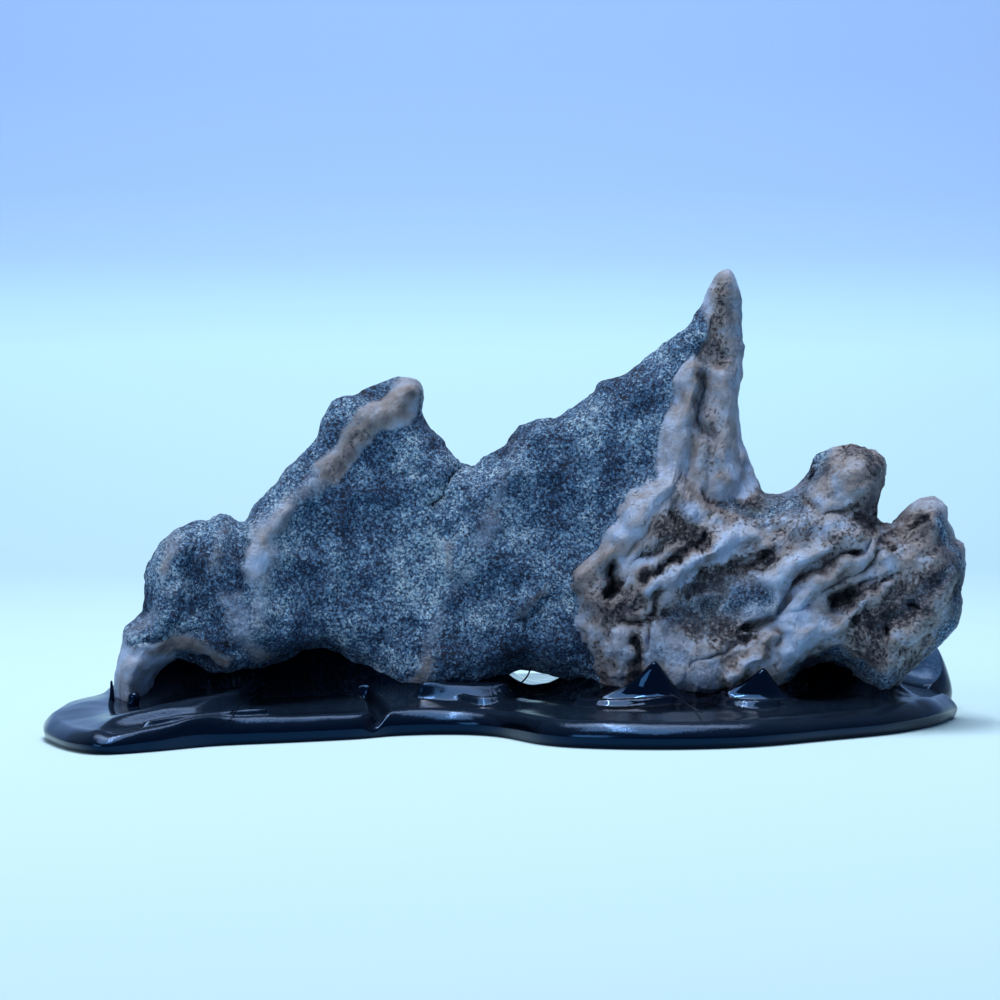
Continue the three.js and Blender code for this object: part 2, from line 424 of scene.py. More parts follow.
def sealed_triangles(rows: int, stations: int) -> tuple[Array, Array]:
    """Triangles of a grid of closed rings whose first and last rings are folded flat along a spine.

    On a folded ring, opposite stations are one point; triangles that folding leaves empty are dropped.

    Args:
        rows: number of rings.
        stations: points in each ring, an even number.

    Returns:
        The triangles, and which points of the grid they use, in the order of the new indexes.
    """
    index = np.arange(rows * stations).reshape(rows, stations)
    for ring in (0, -1):
        index[ring, stations // 2:] = index[ring, :stations // 2][::-1]
    both = grid_triangles(index, np.roll(index, -1, axis=1))
    empty = (both[:, 0] == both[:, 1]) | (both[:, 1] == both[:, 2]) | (both[:, 0] == both[:, 2])
    used, renumbered = np.unique(both[~empty], return_inverse=True)
    return renumbered.reshape(-1, 3), used


def grid_triangles(index: Array, across: Array) -> Array:
    """Two triangles for each cell of a grid.

    Args:
        index: the points' indexes, in rows.
        across: the index beside each of them, along its row.

    Returns:
        Point indexes, three to a row.
    """
    first = np.stack([index[:-1], across[:-1], across[1:]], axis=-1).reshape(-1, 3)
    second = np.stack([index[:-1], across[1:], index[1:]], axis=-1).reshape(-1, 3)
    return np.vstack([first, second])


def vertex_normals(points: Array, triangles: Array) -> Array:
    """Unit normals at the points: the sum of the normals of the triangles round each, by area.

    Args:
        points: places, three to a row.
        triangles: point indexes, three to a row.

    Returns:
        One normal for each point.
    """
    a, b, c = (points[triangles[:, k]] for k in range(3))
    face = np.cross(b - a, c - a)
    total = np.zeros_like(points)
    for k in range(3):
        np.add.at(total, triangles[:, k], face)
    return total / np.maximum(np.linalg.norm(total, axis=1, keepdims=True), TINY)


def make_piece(
    name: str,
    points: Array,
    triangles: Array,
    paints: dict[str, Array],
    finish: bpy.types.Material,
) -> bpy.types.Object:
    """A smooth-shaded mesh object in the scene, with its finish and painted values at its points.

    Args:
        name: the piece's name.
        points: places in millimetres.
        triangles: point indexes, three to a row.
        paints: attribute names and one value for each point.
        finish: the piece's material.

    Returns:
        The new object.
    """
    mesh = bpy.data.meshes.new(name)
    mesh.from_pydata((points * MM).tolist(), [], triangles.tolist())
    mesh.polygons.foreach_set("use_smooth", np.ones(len(mesh.polygons), bool))
    for paint, values in paints.items():
        layer = mesh.attributes.new(paint, "FLOAT", "POINT")
        layer.data.foreach_set("value", np.asarray(values, np.float32))
    mesh.materials.append(finish)
    piece = bpy.data.objects.new(name, mesh)
    bpy.context.scene.collection.objects.link(piece)
    return piece


def level_outline(piece: bpy.types.Object, height: float) -> Array:
    """Where a piece's edges pass through a level plane.

    Args:
        piece: a mesh object.
        height: of the plane, in millimetres.

    Returns:
        Places in millimetres, x and y to a row.
    """
    places = np.empty(3 * len(piece.data.vertices), np.float32)
    piece.data.vertices.foreach_get("co", places)
    ends = np.empty(2 * len(piece.data.edges), np.int32)
    piece.data.edges.foreach_get("vertices", ends)
    start, end = places.reshape(-1, 3)[ends.reshape(-1, 2)].transpose(1, 0, 2) / MM
    through = (start[:, 2] > height) != (end[:, 2] > height)
    start, end = start[through], end[through]
    share = (height - start[:, 2]) / (end[:, 2] - start[:, 2])
    return (start + (end - start) * share[:, None])[:, :2]


def add_node(
    tree: bpy.types.NodeTree,
    kind: str,
    inputs: dict[str | int, object] | None = None,
    settings: dict[str, object] | None = None,
    stops: Stops = (),
) -> bpy.types.bpy_prop_collection:
    """Adds a shader node with its settings, its fixed values and its links.

    Args:
        tree: the node tree.
        kind: Blender's name for the node, without the words that all shader nodes begin with.
        inputs: for each input, by name or number, a value to set or an output to link.
        settings: properties of the node.
        stops: places and colours of a colour ramp.

    Returns:
        The new node's outputs.
    """
    node = tree.nodes.new(f"ShaderNode{kind}")
    for name, value in (settings or {}).items():
        setattr(node, name, value)
    for key, value in (inputs or {}).items():
        if isinstance(value, bpy.types.NodeSocket):
            tree.links.new(value, node.inputs[key])
        else:
            node.inputs[key].default_value = value
    if stops:
        ramp = node.color_ramp.elements
        while len(ramp) < len(stops):
            ramp.new(1.0)
        for stop, (place, colour) in zip(ramp, stops):
            stop.position = place
            stop.color = linear(colour)
    return node.outputs


def start_material(name: str) -> tuple[bpy.types.Material, Callable, bpy.types.NodeSocket]:
    """A material with only object coordinates in it.

    Args:
        name: the material's name.

    Returns:
        The material, a function that adds nodes to it, and the coordinates.
    """
    material = bpy.data.materials.new(name)
    material.use_nodes = True
    material.node_tree.nodes.clear()
    add = partial(add_node, material.node_tree)
    return material, add, add("TexCoord")["Object"]


@dataclass(frozen=True)
class SchistAndCalcite:
    """Natural schist with calcite grown on it, worn by water and never polished.

    Schist gives a dull salt-and-pepper grain, a third of a millimetre across. Calcite gives a waxy, milky
    white with tan iron stains, and dark dirt held in its pores and cracks; deep holes are darkened with
    painted shade.

    Attributes:
        grain: size of a grain of schist.
        mottle: size of the mottling between grains.
        patch: size of lighter and darker patches of schist.
        cloud: size of the stains' clouds.
        pore: size of the pores.
        grain_share: how much a single grain counts beside the mottling.
        patch_share: how much a patch counts beside it.
        grain_range: sums of these that give the darkest grain and the lightest.
        warm_share: how much a single grain counts beside its patch in being warmer.
        warm_range: sums of these that give the coolest grain and the warmest.
        warmest: how warm the warmest grain is.
        pore_crowd: how much the painted pores add to the noise that they come from.
        pore_range: sums of these at a pore's edge and in its middle.
        cloud_range: values of the cloud that give the least stain and the most.
        cloud_stain: that least and most, as a place on the ramp of stains.
        tan_share: how far the painted tan goes along that ramp.
        stain_share: how far the painted stain goes.
        pore_share: how far a pore goes.
        crack_share: how far a crack goes.
        crack_half: half the width of a crack, as a difference from the cloud's middle value.
        ragged_share: how much the mottling breaks up the calcite's edge.
        edge_range: sums of it and the painted calcite at the edge's two sides.
        crumb_share: how much the mottling roughens the calcite.
        bump_strength: strength of the bumps all over.
        bump_depth: their depth.
        schist_roughness: of the dull schist.
        calcite_roughness: of the waxy calcite.
        ior: index of refraction.
        schist_grains: colours of the cool grains, from dark to light.
        warm_grains: the same of the warm ones.
        calcite_stains: colours of the calcite, from clean to soiled.
        hole_shade_colour: colour of the painted shade at the bottom of deep holes.
    """

    grain: float = 0.3
    mottle: float = 0.54
    patch: float = 9.0
    cloud: float = 2.6
    pore: float = 0.62
    grain_share: float = 0.46
    patch_share: float = 1.2
    grain_range: tuple[float, float] = (1.03, 1.69)
    warm_share: float = 0.5
    warm_range: tuple[float, float] = (0.66, 1.06)
    warmest: float = 0.7
    pore_crowd: float = 0.18
    pore_range: tuple[float, float] = (0.62, 0.75)
    cloud_range: tuple[float, float] = (0.25, 0.75)
    cloud_stain: tuple[float, float] = (-0.17, 0.3)
    tan_share: float = 0.36
    stain_share: float = 0.4
    pore_share: float = 0.42
    crack_share: float = 0.24
    crack_half: float = 0.018
    ragged_share: float = 0.7
    edge_range: tuple[float, float] = (0.54, 1.02)
    crumb_share: float = 0.6
    bump_strength: float = 0.85
    bump_depth: float = 0.8
    schist_roughness: float = 0.82
    calcite_roughness: float = 0.48
    ior: float = 1.5
    schist_grains: Stops = (
        (0.0, "#05142b"),
        (0.2, "#0f2f55"),
        (0.45, "#305882"),
        (0.75, "#6692ba"),
        (1.0, "#aad0ea"),
    )
    warm_grains: Stops = (
        (0.0, "#10151f"),
        (0.2, "#242d3d"),
        (0.45, "#47566b"),
        (0.75, "#798a9d"),
        (1.0, "#b0bcc8"),
    )
    calcite_stains: Stops = (
        (0.0, "#9db4d8"),
        (0.18, "#929fb8"),
        (0.33, "#898d9b"),
        (0.46, "#7d797e"),
        (0.6, "#5b5a66"),
        (0.75, "#393d4d"),
        (0.9, "#1d2434"),
        (1.0, "#0c1220"),
    )
    # Painted shade: the colour that darkens the bottoms of deep holes.
    hole_shade_colour: str = "#0d1524"

    def material(self) -> bpy.types.Material:
        """The finish as a material that reads the stone's painted masks.

        Returns:
            A material whose colour, roughness and bump follow the masks.
        """
        material, add, place = start_material("schist_and_calcite")
        masks = {
            name: add("Attribute", settings={"attribute_name": name})["Fac"]
            for name in ("calcite", "tan", "stain", "pores", "hollow")
        }
        noise = {
            name: add(
                "TexNoise",
                {"Vector": place, "Scale": 1.0 / (size * MM), "Detail": octaves, "Roughness": keep},
            )["Fac"]
            for name, size, octaves, keep in (
                ("mottle", self.mottle, 4.0, 0.7),
                ("patch", self.patch, 3.0, 0.6),
                ("cloud", self.cloud, 4.0, 0.5),
                ("crumbs", self.pore, 6.0, 0.75),
            )
        }
        pitted, stained = self.stains(add, masks, noise)
        white = add("ValToRGB", {"Fac": stained}, stops=self.calcite_stains)["Color"]
        ragged = add("Math", {0: noise["mottle"], 1: self.ragged_share, 2: masks["calcite"]}, MULTIPLY_ADD)[0]
        low, high = self.edge_range
        calcite = add("MapRange", {"Value": ragged, "From Min": low, "From Max": high})["Result"]
        schist = self.schist_colour(add, place, noise)
        stone = add("Mix", {"Factor": calcite, "A": schist, "B": white}, COLOURS)[MIXED_COLOUR]
        # Painted shade darkens the bottoms of deep holes.
        hole_shaded = {"Factor": masks["hollow"], "A": stone, "B": linear(self.hole_shade_colour)}
        colour = add("Mix", hole_shaded, COLOURS)[MIXED_COLOUR]
        roughness = add(
            "MapRange",
            {"Value": calcite, "To Min": self.schist_roughness, "To Max": self.calcite_roughness},
        )["Result"]
        pit_depth = add("Math", {0: pitted, 1: -1.0, 2: noise["cloud"]}, MULTIPLY_ADD)[0]
        crumbly = add("Math", {0: noise["mottle"], 1: self.crumb_share, 2: pit_depth}, MULTIPLY_ADD)[0]
        rough = {"Factor": calcite, "A": noise["mottle"], "B": crumbly}
        height = add("Mix", rough, {"data_type": "FLOAT"})[0]
        bump = add(
            "Bump",
            {"Height": height, "Strength": self.bump_strength, "Distance": self.bump_depth * MM},
        )["Normal"]
        shader = add(
            "BsdfPrincipled",
            {"Base Color": colour, "Roughness": roughness, "Normal": bump, "IOR": self.ior},
        )["BSDF"]
        add("OutputMaterial", {"Surface": shader})
        return material

    def schist_colour(
        self,
        add: Callable,
        place: bpy.types.NodeSocket,
        noise: dict[str, bpy.types.NodeSocket],
    ) -> bpy.types.NodeSocket:
        """The schist's colour: grains, mottling and patches added up, some of them warmer.

        Args:
            add: adds a node to the material.
            place: object coordinates.
            noise: the material's noises.

        Returns:
            The output that gives the colour.
        """
        cells = add("TexVoronoi", {"Vector": place, "Scale": 1.0 / (self.grain * MM)})["Color"]
        tone = add("SeparateColor", {"Color": cells})
        mottled = add("Math", {0: tone["Red"], 1: self.grain_share, 2: noise["mottle"]}, MULTIPLY_ADD)[0]
        uneven = add("Math", {0: noise["patch"], 1: self.patch_share, 2: mottled}, MULTIPLY_ADD)[0]
        low, high = self.grain_range
        spread = add("MapRange", {"Value": uneven, "From Min": low, "From Max": high})["Result"]
        cool, warm = (
            add("ValToRGB", {"Fac": spread}, stops=stops)["Color"]
            for stops in (self.schist_grains, self.warm_grains)
        )
        mixed = add("Math", {0: tone["Green"], 1: self.warm_share, 2: noise["patch"]}, MULTIPLY_ADD)[0]
        low, high = self.warm_range
        tinted = add(
            "MapRange",
            {"Value": mixed, "From Min": low, "From Max": high, "To Min": 0.0, "To Max": self.warmest},
        )["Result"]
        return add("Mix", {"Factor": tinted, "A": cool, "B": warm}, COLOURS)[MIXED_COLOUR]

    def stains(
        self,
        add: Callable,
        masks: dict[str, bpy.types.NodeSocket],
        noise: dict[str, bpy.types.NodeSocket],
    ) -> tuple[bpy.types.NodeSocket, bpy.types.NodeSocket]:
        """How pitted and how stained the calcite is.

        The stain is a cloud, to which each painted mask, the pores, and hairline cracks in the pitted
        places add their shares. A crack runs where the cloud passes its middle value.

        Args:
            add: adds a node to the material.
            masks: the stone's painted masks.
            noise: the material's noises.

        Returns:
            The outputs that give the pits, from 0 to 1, and the stain, as a place on its ramp.
        """
        crowded = add("Math", {0: masks["pores"], 1: self.pore_crowd, 2: noise["crumbs"]}, MULTIPLY_ADD)[0]
        low, high = self.pore_range
        pitted = add("MapRange", {"Value": crowded, "From Min": low, "From Max": high})["Result"]
        low, high = self.cloud_range
        least, most = self.cloud_stain
        stained = add(
            "MapRange",
            {"Value": noise["cloud"], "From Min": low, "From Max": high, "To Min": least, "To Max": most},
        )["Result"]
        level = add("Math", {0: noise["cloud"], 1: 0.5}, {"operation": "SUBTRACT"})[0]
        off_line = add("Math", {0: level}, {"operation": "ABSOLUTE"})[0]
        cracked = add(
            "MapRange",
            {"Value": off_line, "From Max": self.crack_half, "To Min": self.crack_share, "To Max": 0.0},
        )["Result"]
        for cause, share in (
            (masks["tan"], self.tan_share),
            (masks["stain"], self.stain_share),
            (pitted, self.pore_share),
            (cracked, masks["pores"]),
        ):
            stained = add("Math", {0: cause, 1: share, 2: stained}, MULTIPLY_ADD)[0]
        return pitted, stained


@dataclass(frozen=True)
class PouredResin:
    """Black hot-melt resin, poured in layers and left to set.

    The top keeps the wet gloss it was poured with. The rim and the lobes, which skinned over first,
    have a satin skin with faint scuffs. Their upward faces are lightened by some dust and by a painted
    sheen, so that tops read lighter than sides; the lifted lobe carries a painted reflection.

    Attributes:
        black: the resin's own colour.
        dust: a light bluish colour for the dust, the painted sheen and the painted reflection.
        sheen: the tint of what the resin mirrors.
        gloss_roughness: of the wet top.
        satin_roughness: of the satin skin.
        specular: strength of what it mirrors.
        skin_grain: size of the satin skin's grain.
        scuff: size of the scuffs.
        scuff_range: values of their noise where the skin is least scuffed and most.
        scuff_gain: how much less and how much more satin it is there.
        bump_strength: strength of the skin's grain.
        bump_depth: its depth.
    """

    black: str = "#02040a"
    # A light bluish colour laid on upward faces: some dust, and painted sheen and reflection.
    dust: str = "#496a92"
    sheen: str = "#58a4f8"
    gloss_roughness: float = 0.05
    satin_roughness: float = 0.14
    specular: float = 0.5
    skin_grain: float = 0.5
    scuff: float = 4.0
    scuff_range: tuple[float, float] = (0.35, 0.7)
    scuff_gain: tuple[float, float] = (0.8, 1.2)
    bump_strength: float = 0.25
    bump_depth: float = 0.1

    def material(self) -> bpy.types.Material:
        """The finish as a material that reads the base's satin mask and its mask of dust and painted sheen.

        Returns:
            A near-black dielectric whose roughness and colour follow the masks.
        """
        material, add, place = start_material("poured_black_resin")
        satin, dust = (
            add("Attribute", settings={"attribute_name": name})["Fac"] for name in ("satin", "dust")
        )
        grain, scuff = (
            add(
                "TexNoise",
                {"Vector": place, "Scale": 1.0 / (size * MM), "Detail": octaves, "Roughness": keep},
            )["Fac"]
            for size, octaves, keep in ((self.skin_grain, 3.0, 0.6), (self.scuff, 5.0, 0.65))
        )
        low, high = self.scuff_range
        less, more = self.scuff_gain
        worn = add(
            "MapRange",
            {"Value": scuff, "From Min": low, "From Max": high, "To Min": less, "To Max": more},
        )["Result"]
        patchy = add("Math", {0: satin, 1: worn}, {**MULTIPLY, "use_clamp": True})[0]
        roughness = add(
            "MapRange",
            {"Value": patchy, "To Min": self.gloss_roughness, "To Max": self.satin_roughness},
        )["Result"]
        # Painted sheen and dust, broken up by the grain.
        sheen_and_dust_share = add("Math", {0: dust, 1: grain}, MULTIPLY)[0]
        sheen_and_dust_mix = {"Factor": sheen_and_dust_share, "A": linear(self.black), "B": linear(self.dust)}
        colour = add("Mix", sheen_and_dust_mix, COLOURS)[MIXED_COLOUR]
        height = add("Math", {0: grain, 1: satin}, MULTIPLY)[0]
        bump = add(
            "Bump",
            {"Height": height, "Strength": self.bump_strength, "Distance": self.bump_depth * MM},
        )["Normal"]
        shader = add(
            "BsdfPrincipled",
            {
                "Base Color": colour,
                "Roughness": roughness,
                "Normal": bump,
                "Specular IOR Level": self.specular,
                "Specular Tint": linear(self.sheen),
            },
        )["BSDF"]
        add("OutputMaterial", {"Surface": shader})
        return material


# The stone's outline seen from the front, over the top and underneath, from left to right.
SKYLINE: Path = (
    (-65.0, 9.0), (-64.4, 12.3), (-63.0, 16.4), (-60.2, 19.0), (-59.9, 23.0), (-58.9, 27.6),
    (-55.2, 32.1), (-52.3, 33.4), (-50.8, 32.9), (-48.3, 34.2), (-44.4, 34.3), (-37.4, 42.1),
    (-33.4, 47.3), (-30.6, 51.9), (-28.7, 53.2), (-22.3, 56.1), (-19.4, 56.9), (-16.9, 56.4),
    (-15.7, 54.7), (-16.2, 51.3), (-12.7, 45.9), (-8.9, 42.3), (-6.2, 42.5), (0.3, 47.6), (3.3, 49.8),
    (6.8, 50.0), (12.5, 53.5), (14.0, 56.1), (19.0, 57.6), (24.4, 62.0), (29.8, 66.3), (32.5, 72.9),
    (34.8, 75.0), (36.6, 72.6), (37.5, 67.1), (37.2, 62.0), (37.4, 57.8), (37.1, 48.4), (40.8, 38.1),
    (45.6, 38.0), (48.4, 40.4), (50.2, 44.2), (56.5, 45.7), (60.5, 43.4), (60.5, 40.0), (59.2, 35.0),
    (60.2, 33.0), (62.5, 33.0), (65.5, 36.2), (68.4, 37.1), (70.6, 35.6), (71.9, 30.7), (73.5, 28.6),
    (73.2, 20.0), (72.4, 16.0),
)
UNDERSIDE: Path = (
    (-64.9, 7.2), (-64.4, 4.2), (-62.6, 3.1), (-60.4, 3.6), (-58.6, 8.6), (-55.0, 10.4), (-48.3, 9.2),
    (-42.9, 9.2), (-35.0, 11.6), (-31.1, 12.1), (-25.2, 8.4), (-22.0, 4.6), (-18.3, 3.2), (-12.7, 3.8),
    (-6.2, 5.5), (-1.6, 7.6), (2.3, 8.3), (9.8, 6.1), (13.3, 3.7), (19.8, 2.8), (29.6, 2.8),
    (40.1, 3.4), (44.2, 5.8), (47.1, 8.8), (50.3, 10.2), (53.9, 9.2), (56.8, 5.6), (60.2, 4.6),
    (66.0, 9.6), (70.6, 14.0),
)
# The stone in plan: x, where its ridge stands, and the reach of its foot in front and behind.
PLAN: Path = (
    (-66, -10, 7, 9), (-48, -5, 10, 16), (-22, 3, 10, 20), (4, 6, 13, 21), (34, 7, 16, 20),
    (58, 4, 12, 18), (74, 3, 8, 10),
)
# Where the calcite lump stands forward of the schist, from the ground up its left edge to the neck.
LUMP_EDGE: Path = (
    (12.2, -5.0), (12.2, 8.2), (11.3, 13.4), (9.7, 18.3), (8.9, 22.4), (11.3, 27.2), (15.2, 33.0),
    (16.2, 36.4), (19.0, 39.0), (24.4, 41.2), (28.5, 40.0), (31.0, 38.0), (35.1, 36.4), (38.9, 38.5),
    (44.0, 42.0),
)
LUMP_BEYOND: Path = ((44.0, 90.0), (95.0, 90.0), (95.0, -5.0))

